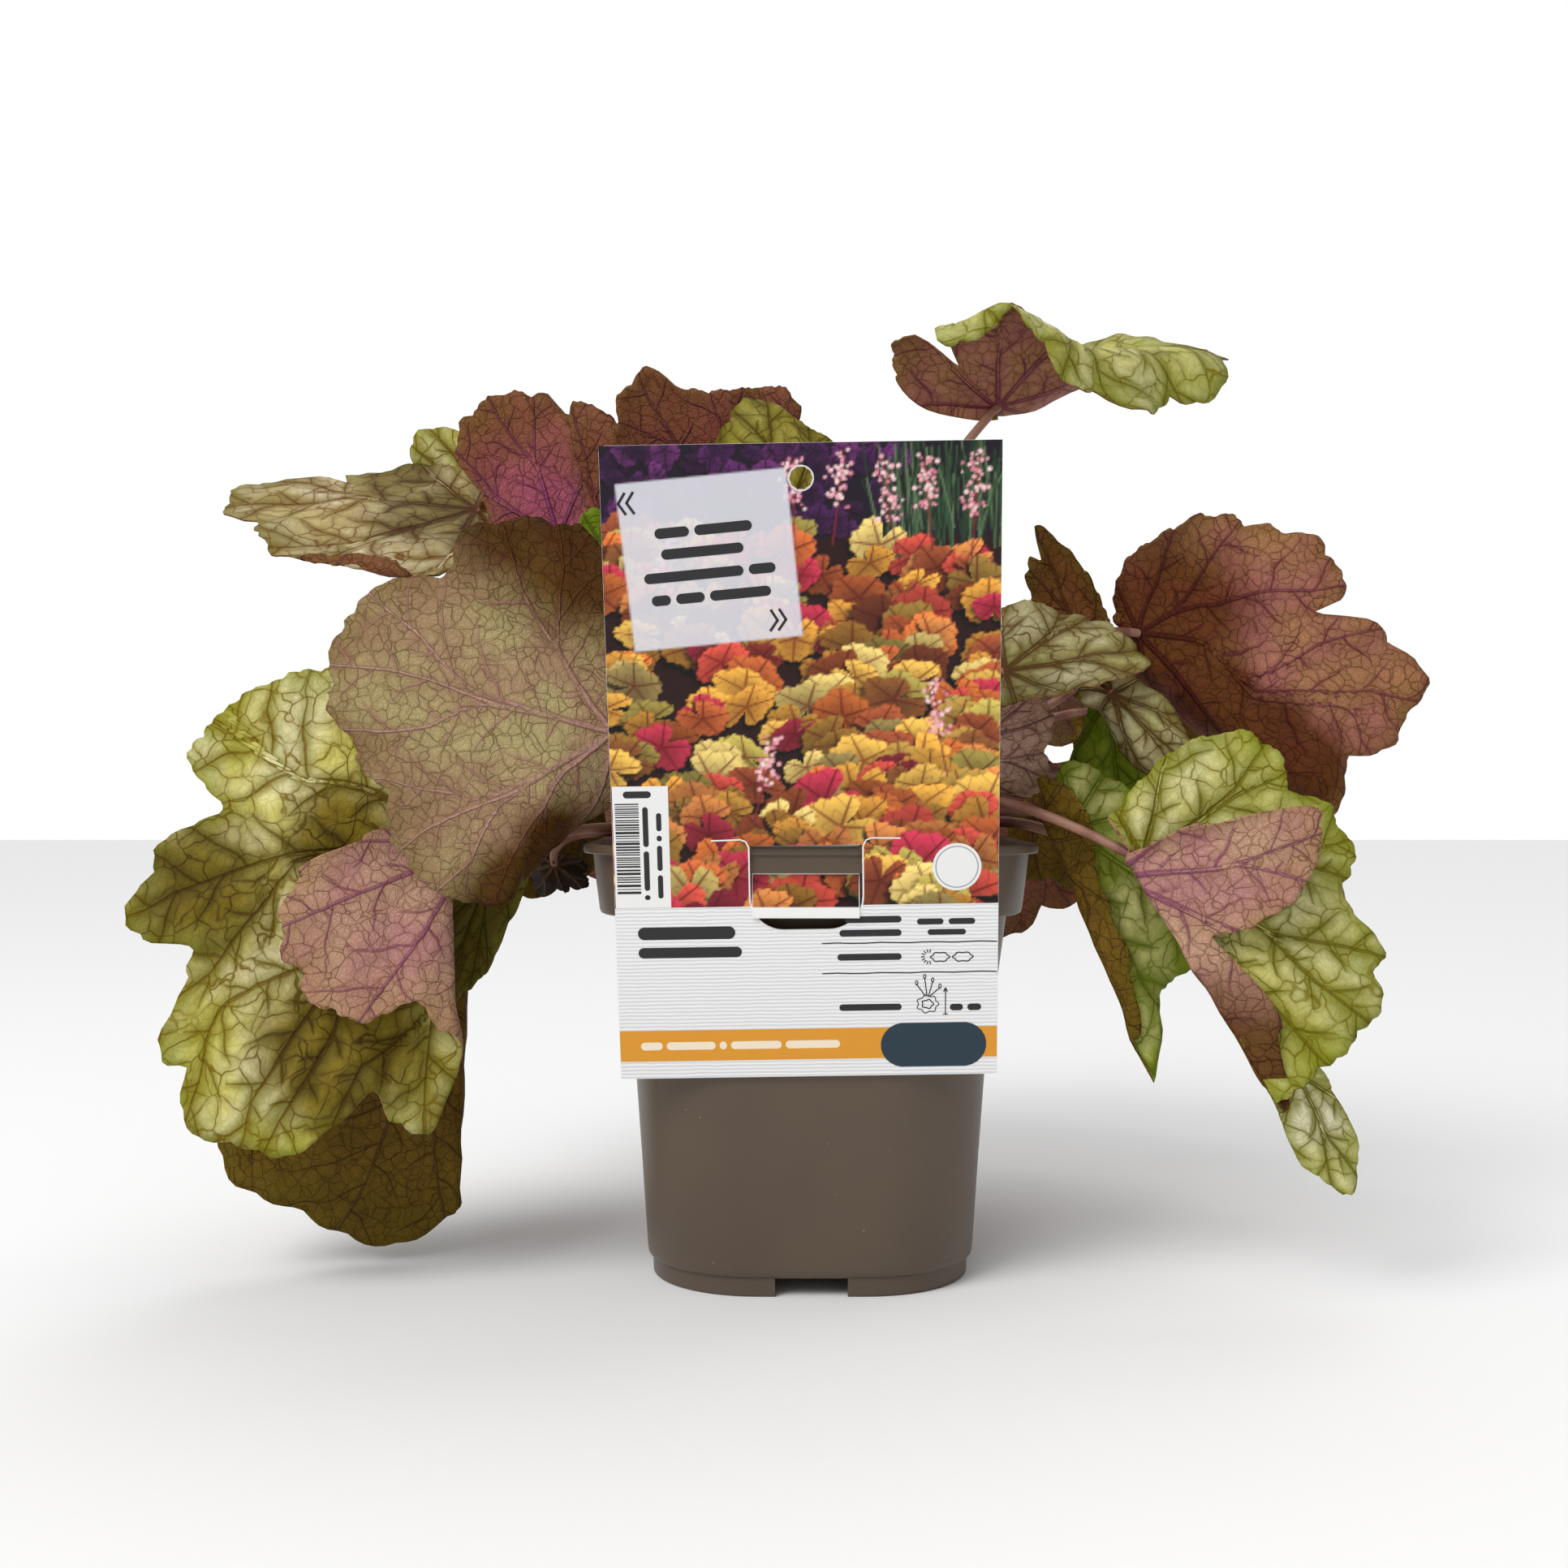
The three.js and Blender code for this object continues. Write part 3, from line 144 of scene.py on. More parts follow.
leaf(FOLDED, (73, -40, 131), (-6, -70, -72), 68, "patchy", "umber", tips=(.28, .32, .34, .34, .34, .33, .32,
     .32, .36, .46, .66, .92, 1, .78, .8, .72, .62, .5, .42, .38, .35, .33, .3, .3, .3), wide=.95,
     cuts=((-3, -.12, 2.5),), bends=((0, -.05, -90, 150, .12), (0, .2, 90, 40, .2)),
     root=(18, 313, 295, 40), meet=20, pull=(.5, .2))
leaf(FOLDED, (90, -62, 123), (-8, -33, -74), 80, "mint", "rose", tips=(.1, .14, .35, .72, .68, .61, .5, .4,
     .74, .95, .9, .91, .93, .88, .72, .73, .68, .58, .61, .6, .5, .4, .3, .25, .2), ruffle=.03,
     cuts=((-58, .06, 3), (60, .04, 4), (27, .05, 3), (8.5, .03, 2)), bends=((-.02, -.02, -119, 166, .07),),
     root=(18, 329, 292, 50), meet=20, pull=(.6, .4), tint=("under", (106, 72, 32), ((4, .7, 3.6, 3.95),)))
leaf(SPREAD, (76, 44, 135), (-10, -55, 74), 30, "olive", "umber", tips=(.2, .4, .8, 1, .8, .4, .2),
     root=(18, 30, 22, 45), pull=(.3, .2))
leaf(FOLDED, (137, -42, 63), (-8, -67, -66), 38, "pale", "brown",
     tips=(.3, .3, .3, .32, .44, .78, 1, .78, .35, .3, .3, .3, .3), step=24, wide=.7, lobe=.03, tooth=.02,
     root=(18, 345, 343, 45), pull=(.6, .3))
leaf(SPREAD, (-58, 66, 186), (134, -8, 8), 66, "lime", "brown", wide=1.05, bends=((.2, 0, 0, -45, .6),),
     root=(12, 130, 137, 60))
leaf(SPREAD, (5, 72, 212), (92, 5, 0), 68, "cream", "plum", wide=1.05, bends=((.2, 0, 0, -60, .6),),
     root=(12, 80, 86, 68))
leaf(SPREAD, (58, 68, 188), (48, -5, -8), 66, "lime", "rose", wide=1.05, bends=((.2, 0, 0, -50, .6),),
     root=(12, 50, 45, 60))
leaf(SPREAD, (-44, 84, 150), (122, -26, 0), 68, "lime", "brown", wide=1.05, bends=((.3, 0, 0, -35, .6),),
     root=(18, 115, 118, 45))
leaf(SPREAD, (48, 82, 136), (56, -34, 0), 68, "cream", "plum", wide=1.05, bends=((.3, 0, 0, -35, .6),),
     root=(18, 60, 62, 45))
leaf(SPREAD, (-84, 40, 158), (160, -22, 0), 70, "lime", "brown", wide=1.05, bends=((.3, 0, 0, -35, .6),),
     root=(18, 145, 156, 50), pull=(.4, .3))
leaf(SPREAD, (94, 76, 146), (40, -26, 0), 70, "mint", "brown", wide=1.05, bends=((.3, 0, 0, -35, .6),),
     root=(18, 10, 26, 50), pull=(.5, .3))
leaf(FOLDED, (-79, 8, 119), (0, -80, 90), 13, "dry", "dry", tips=(.2, .3, .85, .9, .75, .95, 1, .35, .2),
     step=42, wide=1.1, lobe=.22, tooth=.06, ruffle=.12,
     bends=((.1, .1, 70, 60, .3), (.1, -.2, -110, 50, .3)), root=(18, 172, 146, 55), pull=(.3, .4))
LEAVES[-1]["name"] = "withered_leaf"

# ---------------------------------------------------------------- leaf form

def scallop(phi, step, power):
    """From 0 in the middle of each scallop to 1 at the notches between them."""
    u = phi / step + 0.5
    return np.abs(2 * (u - np.floor(u)) - 1) ** power


def tip_length(phi, step, tips):
    """Lobe length at each angle, eased from one tip to the next."""
    half = (len(tips) - 1) / 2
    t = np.clip(phi / step + half, 0, 2 * half)
    k = np.minimum(np.floor(t), 2 * half - 1).astype(int)
    w = (1 - np.cos(np.pi * (t - k))) / 2
    tips = np.array(tips, float)
    return tips[k] * (1 - w) + tips[k + 1] * w


def outline(phi, f):
    """Distance from the stalk to the rim at each angle, in blade sizes."""
    s = f["seed"]
    step = math.radians(f["step"])
    q = phi + 0.05 * np.sin(2 * phi + s) + 0.03 * np.sin(3 * phi + 1.7 * s)
    r = tip_length(phi, step, f["tips"])
    r = r * (1 - 0.88 * np.exp(-((np.pi - np.abs(phi)) / 0.2) ** 2))
    r = r * (1 - f["lobe"] * scallop(q, step, 2.2)) * (1 - f["tooth"] * scallop(q, step / 3, 1.6))
    for angle, depth, width in f["cuts"]:
        r = r * (1 - depth * np.exp(-((np.degrees(phi) - angle) / width) ** 2))
    return r


def teeth(phi, f):
    """Fine uneven teeth of the rim, as a factor close to 1."""
    s = f["seed"]
    q = phi + 0.03 * np.sin(5 * phi + s) + 0.012 * np.sin(13 * phi + 2 * s)
    deep = 0.5 + 0.5 * np.sin(4 * phi + 1.3 * s)
    rough = np.sin(47 * phi + s) * np.sin(19 * phi + 2 * s)
    return 1.004 - 0.01 * deep * scallop(q, math.radians(5.2), 1.5) - 0.003 * rough


def flat_point(rho, phi, f):
    """The ruffled blade before it is folded, in millimetres; rho is 0 at the stalk and 1 at the rim."""
    r = rho * outline(phi, f) * (1 + (teeth(phi, f) - 1) * rho ** 3)
    s = f["seed"]
    wave = np.sin(3 * phi + s) + 0.6 * np.sin(5 * phi + 2.3 * s + 1)
    x = r * np.cos(phi)
    y = r * np.sin(phi) * f["wide"]
    z = f["ruffle"] * rho ** 2.5 * wave
    return np.stack([x, y, z], -1) * f["size"]


def fold(p, bend, size):
    """Rolls all that lies beyond a crease over it."""
    ox, oy, across, angle, wide = bend[:5]
    n = np.array([math.cos(math.radians(across)), math.sin(math.radians(across))])
    dx = p[..., 0] - ox * size
    dy = p[..., 1] - oy * size
    s = dx * n[0] + dy * n[1]
    theta = np.full(s.shape, math.radians(angle))
    if len(bend) > 5:
        g = np.clip(((dy * n[0] - dx * n[1]) / size - bend[5]) / (bend[6] - bend[5]), 0, 1)
        theta = theta * g * g * (3 - 2 * g)
    keep = (s <= 0) | (np.abs(theta) < 0.001)
    theta = np.where(np.abs(theta) < 0.001, 0.001, theta)
    w = wide * size
    radius = w / theta
    t = np.clip(s / w, 0, 1) * theta
    rest = np.maximum(s - w, 0)
    along = (radius - p[..., 2]) * np.sin(t) + rest * np.cos(t) - s
    up = radius - (radius - p[..., 2]) * np.cos(t) + rest * np.sin(t)
    q = p.copy()
    q[..., 0] += np.where(keep, 0, along * n[0])
    q[..., 1] += np.where(keep, 0, along * n[1])
    q[..., 2] = np.where(keep, p[..., 2], up)
    return q


def leaf_axes(f):
    """Directions along the midrib, across the blade and out of its top face."""
    h, p, r = [math.radians(v) for v in f["turn"]]
    d = np.array([math.cos(h) * math.cos(p), math.sin(h) * math.cos(p), math.sin(p)])
    n0 = np.array([-math.cos(h) * math.sin(p), -math.sin(h) * math.sin(p), math.cos(p)])
    n = n0 * math.cos(r) + np.cross(n0, d) * math.sin(r)
    return d, np.cross(n, d), n


def place(p, f):
    """Flat leaf coordinates to the row frame, in millimetres."""
    for bend in f["bends"]:
        p = fold(p, bend, f["size"])
    d, s, n = leaf_axes(f)
    return f["at"] + CENTRE + p[..., 0:1] * d + p[..., 1:2] * s + p[..., 2:3] * n


def stalk_path(f, count):
    """A curve from the crown to the blade, in millimetres."""
    ring, spot, azimuth, rise = f["root"]
    d, _, n = leaf_axes(f)
    b = np.array([ring * math.cos(math.radians(spot)), ring * math.sin(math.radians(spot)), ROOT_Z])
    az, up = math.radians(azimuth), math.radians(rise)
    out = np.array([math.cos(az) * math.cos(up), math.sin(az) * math.cos(up), math.sin(up)])
    span = np.linalg.norm(f["at"] - b)
    meet = math.radians(f["meet"])
    c1 = b + out * span * f["pull"][0]
    c2 = f["at"] - (d * math.cos(meet) + n * math.sin(meet)) * span * f["pull"][1]
    t = np.linspace(0, 1, count)[:, None]
    path = (1 - t) ** 3 * b + 3 * (1 - t) ** 2 * t * c1 + 3 * (1 - t) * t * t * c2 + t ** 3 * f["at"]
    return path + CENTRE


# ---------------------------------------------------------------- veins

# Angles of the main veins where they leave the stalk, how far out each one forks, in blade sizes,
# and the angles of its branches at the rim.
FANS = {
    "leaf_23": ((-128, .3, (-132,)), (-96, .35, (-102, -86)), (-66, .3, (-72, -56)), (-24, .4, (-34, -14)),
                (4, .45, (-3, 12)), (34, .4, (27, 44)), (70, .4, (60, 80)), (108, .4, (102, 118))),
}
# The same as full paths, as (distance, angle) pairs.
PATHS = {
    "leaf_01": (((0, -128), (1, -132)), ((0, -98), (1, -104)), ((0, -57), (.22, -58), (.34, -67), (1, -78)),
                ((0, -51), (.34, -50), (.45, -50), (.49, -52), (.63, -60), (1, -63)),
                ((0, -51), (.34, -50), (.5, -48), (.68, -48), (.79, -49), (1, -50)),
                ((0, -51), (.34, -50), (.5, -47.6), (.57, -40), (.62, -37), (.76, -29), (1, -26)),
                ((0, -5), (.46, -5.4), (.61, -16), (.75, -19), (.91, -20), (1, -20.5)),
                ((0, -5), (.46, -5), (.58, -4.4), (.88, -5), (1, -5)),
                ((0, -5), (.46, -4.6), (.72, 9), (.86, 11), (1, 12)),
                ((0, 31), (.19, 33), (.34, 38), (.39, 38), (.56, 40), (.65, 42), (1, 44)),
                ((0, 31), (.19, 33.3), (.34, 39), (.42, 46), (.56, 53), (1, 58)), ((0, 76), (1, 84)),
                ((0, 118), (1, 128))),
    "leaf_02": (((0, -126), (1, -130)), ((0, -98), (.22, -89), (.42, -76.4), (.54, -80), (1, -92)),
                ((0, -98), (.22, -89), (.42, -76), (.54, -76), (.68, -78), (1, -80)),
                ((0, -46), (.24, -46), (.4, -45), (.57, -42), (.71, -41), (.81, -39), (1, -38)),
                ((0, -46), (.24, -46), (.4, -44.6), (.5, -33), (.62, -26), (.7, -21), (1, -17)),
                ((0, 2), (.4, 0), (.5, -8), (.61, -11), (.72, -12), (.82, -9), (.88, -6), (1, -4)),
                ((0, 2), (.53, 3), (.65, 2), (.84, 2), (.93, 5), (1, 6)),
                ((0, 2), (.45, 4), (.58, 9), (.72, 10), (.84, 10.5), (1, 12)),
                ((0, 36), (.44, 37), (.56, 27), (.63, 22), (1, 18)),
                ((0, 36), (.44, 37.5), (.68, 35), (1, 34)),
                ((0, 66), (1, 74)), ((0, 100), (1, 112)), ((0, 130), (1, 134))),
    "leaf_16": (((0, -122), (1, -128)), ((0, -92), (.17, -81), (.3, -84), (1, -88)),
                ((0, -45), (.13, -42), (.27, -53), (.38, -56), (1, -58)),
                ((0, -45), (.13, -40), (.28, -29), (.44, -29), (.6, -25), (1, -22)),
                ((0, -8), (.2, -4), (.36, 12), (.4, 12), (.49, 3), (.6, -6), (.69, -8), (1, -12)),
                ((0, -8), (.2, -4), (.36, 14), (.44, 18), (.55, 12), (.69, 7), (.8, 3), (1, 2)),
                ((0, -8), (.2, -4), (.36, 15), (.44, 19), (.55, 13), (.69, 8.5), (.76, 9), (.84, 16),
                 (1, 24)),
                ((0, 34), (.4, 38), (1, 48)), ((0, 66), (1, 76)), ((0, 108), (1, 116))),
}
# Millimetres between the places where side veins leave a main one.
SPACING = 13.5


def vein_paths(f):
    """Main veins as (distance, angle) pairs, from the tables above or drawn at random."""
    if f["name"] in PATHS:
        return PATHS[f["name"]]
    draw = random.Random(100 + f["seed"])
    fans = FANS.get(f["name"])
    if not fans:
        fans = [(a + draw.uniform(-3, 3), draw.uniform(.32, .52),
                 (a - draw.uniform(7, 12), a + draw.uniform(7, 12)))
                for a in (-126, -84, -42, 0, 42, 84, 126)]
    paths = []
    for start, fork, ends in fans:
        for end in ends:
            steps = [(r, start + (end - start) * max(0, 1 - fork / r) / (1 - fork))
                     for r in (.05, fork, .6, .7, .8, .9, 1)]
            paths.append([(0, start)] + sorted(steps))
    return paths


def vein_fields(r, phi, f):
    """Vein number, and the width of the strip between two veins, at each point."""
    curves = []
    deg = np.degrees(phi)
    for k, path in enumerate(vein_paths(f)):
        sway = 1.6 * np.sin(7 * r + 2.1 * k + f["seed"]) * np.minimum(r * 3, 1)
        curves.append(np.interp(r, *zip(*path)) + sway)
    for k in range(1, len(curves)):
        curves[k] = np.maximum(curves[k], curves[k - 1] + 0.15)
    number = (deg - curves[0]) / 40
    gap = np.full(deg.shape, 40.0)
    for k in range(len(curves) - 1):
        inside = deg > curves[k]
        span = curves[k + 1] - curves[k]
        number = np.where(inside, k + (deg - curves[k]) / span, number)
        gap = np.where(inside, span, gap)
    last = deg > curves[-1]
    number = np.where(last, len(curves) - 1 + (deg - curves[-1]) / 40, number)
    gap = np.where(last, 40.0, gap)
    return number, r * f["size"] * np.radians(gap)


def quilt(number, strip, r, f):
    """Height of the soft cushions between the veins, in millimetres."""
    t = number - np.round(number)
    across = np.abs(t) * strip
    along = r * f["size"] - 0.85 * across + 0.5 * SPACING * (t > 0)
    e = np.abs(along / SPACING - np.round(along / SPACING)) * SPACING * 0.7
    near = 1 - np.exp(-(across / 3.6) ** 2)
    side = 1 - 0.35 * np.exp(-(e / 2.8) ** 2)
    return near * side * np.minimum(r * 4, 1)


# ---------------------------------------------------------------- mesh helpers

def mesh_object(name, points, faces):
    """A mesh from points in millimetres."""
    mesh = bpy.data.meshes.new(name)
    mesh.from_pydata((np.asarray(points) * MM).tolist(), [], faces)
    mesh.update()
    obj = bpy.data.objects.new(name, mesh)
    scene.collection.objects.link(obj)
    return obj


def make_active(obj):
    bpy.ops.object.select_all(action="DESELECT")
    obj.select_set(True)
    bpy.context.view_layer.objects.active = obj


def smooth(obj, angle=35):
    make_active(obj)
    bpy.ops.object.shade_smooth_by_angle(angle=math.radians(angle))


def ring_faces(count, sides):
    """Quads between rings of points, each ring closed on itself."""
    turns = [(k, (k + 1) % sides) for k in range(sides)]
    starts = range(0, (count - 1) * sides, sides)
    return [(i + k, i + after, i + sides + after, i + sides + k) for i in starts for k, after in turns]


def closed_faces(count, sides):
    """The same with a flat face over each end."""
    first, last = tuple(reversed(range(sides))), tuple((count - 1) * sides + k for k in range(sides))
    return ring_faces(count, sides) + [first, last]


def tube(name, path, radii, sides):
    """A closed tube along a path, in millimetres."""
    path = np.asarray(path, float)
    points, side = [], np.array([1.0, 0.0, 0.0])
    for i, c in enumerate(path):
        d = path[min(i + 1, len(path) - 1)] - path[max(i - 1, 0)]
        d /= np.linalg.norm(d)
        side = side - d * (side @ d)
        side /= np.linalg.norm(side)
        up = np.cross(d, side)
        a = np.arange(sides) * 2 * np.pi / sides
        points.append(c + radii[i] * (np.cos(a)[:, None] * side + np.sin(a)[:, None] * up))
    return mesh_object(name, np.concatenate(points), closed_faces(len(path), sides))


def leaf_blade(f, spokes, rings, skins):
    """A grid laid out as spokes and rings, shaped into the blade and given its thickness."""
    bpy.ops.mesh.primitive_grid_add(x_subdivisions=spokes, y_subdivisions=rings, size=2)
    blade = bpy.context.object
    mesh = blade.data
    co = np.empty(len(mesh.vertices) * 3)
    mesh.vertices.foreach_get("co", co)
    co = co.reshape(-1, 3)
    phi = co[:, 0] * np.pi
    rho = (co[:, 1] + 1) / 2
    flat = flat_point(rho, phi, f)
    r = rho * outline(phi, f)
    number, strip = vein_fields(r, phi, f)
    s = f["seed"]
    u, v = flat[:, 0], flat[:, 1]
    swell = np.sin(0.17 * u + s) * np.sin(0.15 * v + 2 * s) + 0.5 * np.sin(0.31 * u - 0.2 * v + 3 * s)
    flat[:, 2] += 0.9 * quilt(number, strip, r, f) + 0.9 * swell * rho
    mesh.vertices.foreach_set("co", (place(flat, f) * MM).ravel())
    index = np.empty(len(mesh.loops), int)
    mesh.loops.foreach_get("vertex_index", index)
    mesh.uv_layers.active.data.foreach_set("uv", (flat[index, :2] / 100).ravel())
    # painted shade: how much of it each point takes from the soft round places; on a few leaves a plain
    # change of colour there
    tint = np.zeros(len(rho))
    for x, y, full, none in f["tint"][2]:
        away = np.hypot(u / f["size"] - x, v / f["size"] - y)
        tint = np.maximum(tint, np.clip((none - away) / (none - full), 0, 1))
    for name, values in (("rim", rho), ("vein_number", number), ("vein_strip", strip), ("tint", tint)):
        mesh.attributes.new(name, "FLOAT", "POINT").data.foreach_set("value", values)
    bpy.ops.object.mode_set(mode="EDIT")
    bpy.ops.mesh.select_all(action="SELECT")
    bpy.ops.mesh.remove_doubles(threshold=0.00002)
    bpy.ops.object.mode_set(mode="OBJECT")
    for skin in skins:
        mesh.materials.append(skin)
    wall = blade.modifiers.new("thickness", "SOLIDIFY")
    wall.thickness = LEAF_THICK * MM
    wall.offset = 0
    wall.material_offset = 1
    wall.use_even_offset = False
    bpy.ops.object.modifier_apply(modifier=wall.name)
    bpy.ops.object.shade_smooth()
    blade.name = mesh.name = f["name"] + "_blade"
    return blade


# ---------------------------------------------------------------- shader helpers

def colour(r, g, b):
    """Screen colour 0-255 to the linear values that shaders use."""
    shares = [c / 255 for c in (r, g, b)]
    return tuple(((c + 0.055) / 1.055) ** 2.4 if c > 10 / 255 else c / 12.92 for c in shares) + (1.0,)


class Wires:
    """Adds nodes to one tree; inputs are numbers, colours or other nodes' outputs."""

    def __init__(self, tree):
        self.tree = tree

    def add(self, kind, inputs=None, out=0, **settings):
        node = self.tree.nodes.new(kind)
        for key, value in settings.items():
            setattr(node, key, value)
        for key, value in (inputs or {}).items():
            self.feed(node.inputs[key], value)
        return node.outputs[out]

    def feed(self, socket, value):
        if isinstance(value, bpy.types.NodeSocket):
            self.tree.links.new(value, socket)
        else:
            socket.default_value = value

    def math(self, op, a, b=0.0, c=0.0, clamp=False):
        return self.add("ShaderNodeMath", {0: a, 1: b, 2: c}, operation=op, use_clamp=clamp)

    def times(self, a, b):
        return self.math("MULTIPLY", a, b)

    def plus(self, a, b):
        return self.math("ADD", a, b)

    def minus(self, a, b):
        return self.math("SUBTRACT", a, b)

    def line(self, a, slope, start):
        return self.math("MULTIPLY_ADD", a, slope, start)

    def to_nearest(self, a):
        """How far a is above the nearest whole number."""
        return self.minus(a, self.math("ROUND", a))

    def vector(self, op, a, b=None, out=0):
        return self.add("ShaderNodeVectorMath", {0: a} if b is None else {0: a, 1: b}, out, operation=op)

    def place(self):
        return self.add("ShaderNodeTexCoord", out="Object")

    def fade(self, value, low, high, start=0.0, end=1.0):
        """Smoothly from start at low to end at high."""
        limits = {"Value": value, "From Min": low, "From Max": high, "To Min": start, "To Max": end}
        return self.add("ShaderNodeMapRange", limits, interpolation_type="SMOOTHSTEP")

    def relief(self, skin, strength, distance, height):
        values = {"Strength": strength, "Distance": distance, "Height": height}
        self.feed(skin.inputs["Normal"], self.add("ShaderNodeBump", values))

    def mix(self, amount, a, b, kind="MIX"):
        node = self.tree.nodes.new("ShaderNodeMix")
        node.data_type = "RGBA"
        node.blend_type = kind
        self.feed(node.inputs[0], amount)
        self.feed(node.inputs[6], a)
        self.feed(node.inputs[7], b)
        return node.outputs[2]

    def noise(self, vector, scale, detail=2.0, out="Fac"):
        return self.add("ShaderNodeTexNoise", {"Vector": vector, "Scale": scale, "Detail": detail}, out=out)

    def edges(self, vector, scale):
        """Distance to the border of the nearest cell."""
        values = {"Vector": vector, "Scale": scale}
        return self.add("ShaderNodeTexVoronoi", values, feature="DISTANCE_TO_EDGE")

    def attribute(self, name):
        return self.add("ShaderNodeAttribute", out="Fac", attribute_name=name)


def group(name, inputs, outputs):
    """An empty node group; returns its Wires, its inputs by name and its output node."""
    tree = bpy.data.node_groups.new(name, "ShaderNodeTree")
    for label, start in inputs.items():
        kind = "NodeSocketColor" if isinstance(start, tuple) else "NodeSocketFloat"
        tree.interface.new_socket(label, in_out="INPUT", socket_type=kind).default_value = start
    for label, kind in outputs.items():
        tree.interface.new_socket(label, in_out="OUTPUT", socket_type="NodeSocket" + kind)
    source = tree.nodes.new("NodeGroupInput")
    return Wires(tree), source.outputs, tree.nodes.new("NodeGroupOutput")


def material(name, roughness=0.6, base=(0.5, 0.5, 0.5, 1)):
    mat = bpy.data.materials.new(name)
    mat.use_nodes = True
    skin = mat.node_tree.nodes["Principled BSDF"]
    skin.inputs["Base Color"].default_value = base
    skin.inputs["Roughness"].default_value = roughness
    return mat, skin, Wires(mat.node_tree)


# ---------------------------------------------------------------- leaf skin

w, given, result = group("leaf_skin", {
    "Flesh": (0.5, 0.5, 0.3, 1), "Second Flesh": (0.5, 0.5, 0.3, 1), "Vein": (0.3, 0.2, 0.1, 1),
    "Net": (0.3, 0.2, 0.1, 1), "Margin": (0.3, 0.4, 0.1, 1), "Stain": (0.1, 0.06, 0.03, 1),
    "Vein Width": 1.6, "Halo": 3.0, "Halo Strength": 0.4, "Net Strength": 0.5, "Groove Shade": 0.3,
    "Margin Strength": 0.6, "Seed": 0.0, "Ridge": 1.0, "Net Scale": 20.0, "Vein Highlight": 0.0,
    "Tint": (1, 1, 1, 1)}, {"Color": "Color", "Roughness": "Float", "Height": "Float"})
uv = w.add("ShaderNodeUVMap", out="UV")
shift = w.add("ShaderNodeCombineXYZ", {0: given["Seed"], 1: w.times(given["Seed"], 0.37)})
spot = w.vector("ADD", uv, shift)
wander = w.vector("SUBTRACT", w.noise(spot, 11.0, 2.0, out="Color"), (0.5, 0.5, 0.5))
wander = w.add("ShaderNodeVectorMath", {0: wander, "Scale": 0.07}, operation="SCALE")
bent = w.vector("ADD", spot, wander)
rim = w.attribute("rim")
number = w.attribute("vein_number")
strip = w.attribute("vein_strip")
tint = w.attribute("tint")

# distances in millimetres: across from the nearest main vein, and along the spacing of the side veins
waver = w.line(w.noise(spot, 26.0, 1.0), 0.6, -0.3)
drift = w.line(w.noise(spot, 7.0, 1.0), 9.0, -4.5)
turn = w.to_nearest(number)
across = w.math("ABSOLUTE", w.line(turn, strip, waver))
length = w.times(w.vector("LENGTH", uv, out="Value"), 100.0)
side = w.times(w.math("GREATER_THAN", turn, 0.0), SPACING / 2)
along = w.plus(w.minus(length, w.times(across, 0.85)), side)
along = w.plus(along, w.plus(waver, drift))
steps = w.math("DIVIDE", along, SPACING)
branch = w.times(w.math("ABSOLUTE", w.to_nearest(steps)), SPACING * 0.7)
wide = w.times(given["Vein Width"], w.line(rim, -0.78, 1.0))

# main veins, side veins, the net and its finer net, and the halo round the veins
main = w.fade(across, w.times(wide, 0.25), w.line(wide, 0.55, 0.25), 1.0, 0.0)
thin = w.line(wide, 0.2, 0.1)
reach = w.fade(length, 8.0, 16.0)
offset = w.fade(w.math("ABSOLUTE", turn), 0.25, 0.5, 1.0, 0.5)
minor = w.fade(branch, w.times(thin, 0.3), w.line(thin, 1.1, 0.12), 1.0, 0.0)
minor = w.times(w.times(minor, reach), offset)
cells = w.edges(bent, given["Net Scale"])
fine_cells = w.edges(bent, w.times(given["Net Scale"], 2.6))
net = w.times(w.fade(cells, 0.0, 0.045, 1.0, 0.0), w.fade(w.noise(spot, 13.0, 2.0), 0.3, 0.65, 0.45, 1.15))
fine_net = w.fade(fine_cells, 0.0, 0.16, 1.0, 0.0)
branch_away = w.line(w.minus(1.0, offset), 4.0, w.times(branch, 1.5))
nearest = w.math("MINIMUM", across, branch_away)
halo = w.times(w.fade(nearest, 0.0, given["Halo"], 1.0, 0.0), given["Halo Strength"])

# colour, from the flesh up
tone = w.mix(w.fade(w.noise(spot, 5.0, 3.0), 0.35, 0.65), given["Flesh"], given["Second Flesh"])
# painted shade in the grooves round each cell of the net, where the cushions between them dip
tone = w.mix(w.times(w.fade(cells, 0.0, 0.3, 1.0, 0.0), given["Groove Shade"]), tone, given["Net"])
edge = w.times(w.math("POWER", rim, 5.0), w.fade(w.noise(spot, 9.0, 2.0), 0.3, 0.6, 0.45, 1.0))
tone = w.mix(w.times(edge, given["Margin Strength"]), tone, given["Margin"])
tone = w.mix(halo, tone, w.mix(0.55, given["Vein"], given["Margin"]))
tone = w.mix(w.times(fine_net, w.times(given["Net Strength"], 0.22)), tone, given["Net"])
tone = w.mix(w.times(net, given["Net Strength"]), tone, given["Net"])
tone = w.mix(w.times(minor, 0.7), tone, given["Vein"])
tone = w.mix(w.times(main, w.line(rim, -0.3, 0.95)), tone, given["Vein"])
# painted highlight along the middle of the main veins, paler where their ridges catch the light
core = w.fade(across, w.times(wide, 0.06), w.times(wide, 0.34), 1.0, 0.0)
tone = w.mix(w.times(core, given["Vein Highlight"]), tone, w.mix(0.6, given["Vein"], (0.8, 0.62, 0.54, 1)))
tone = w.mix(w.fade(w.noise(bent, 16.0, 4.0), 0.72, 0.78), tone, given["Stain"])
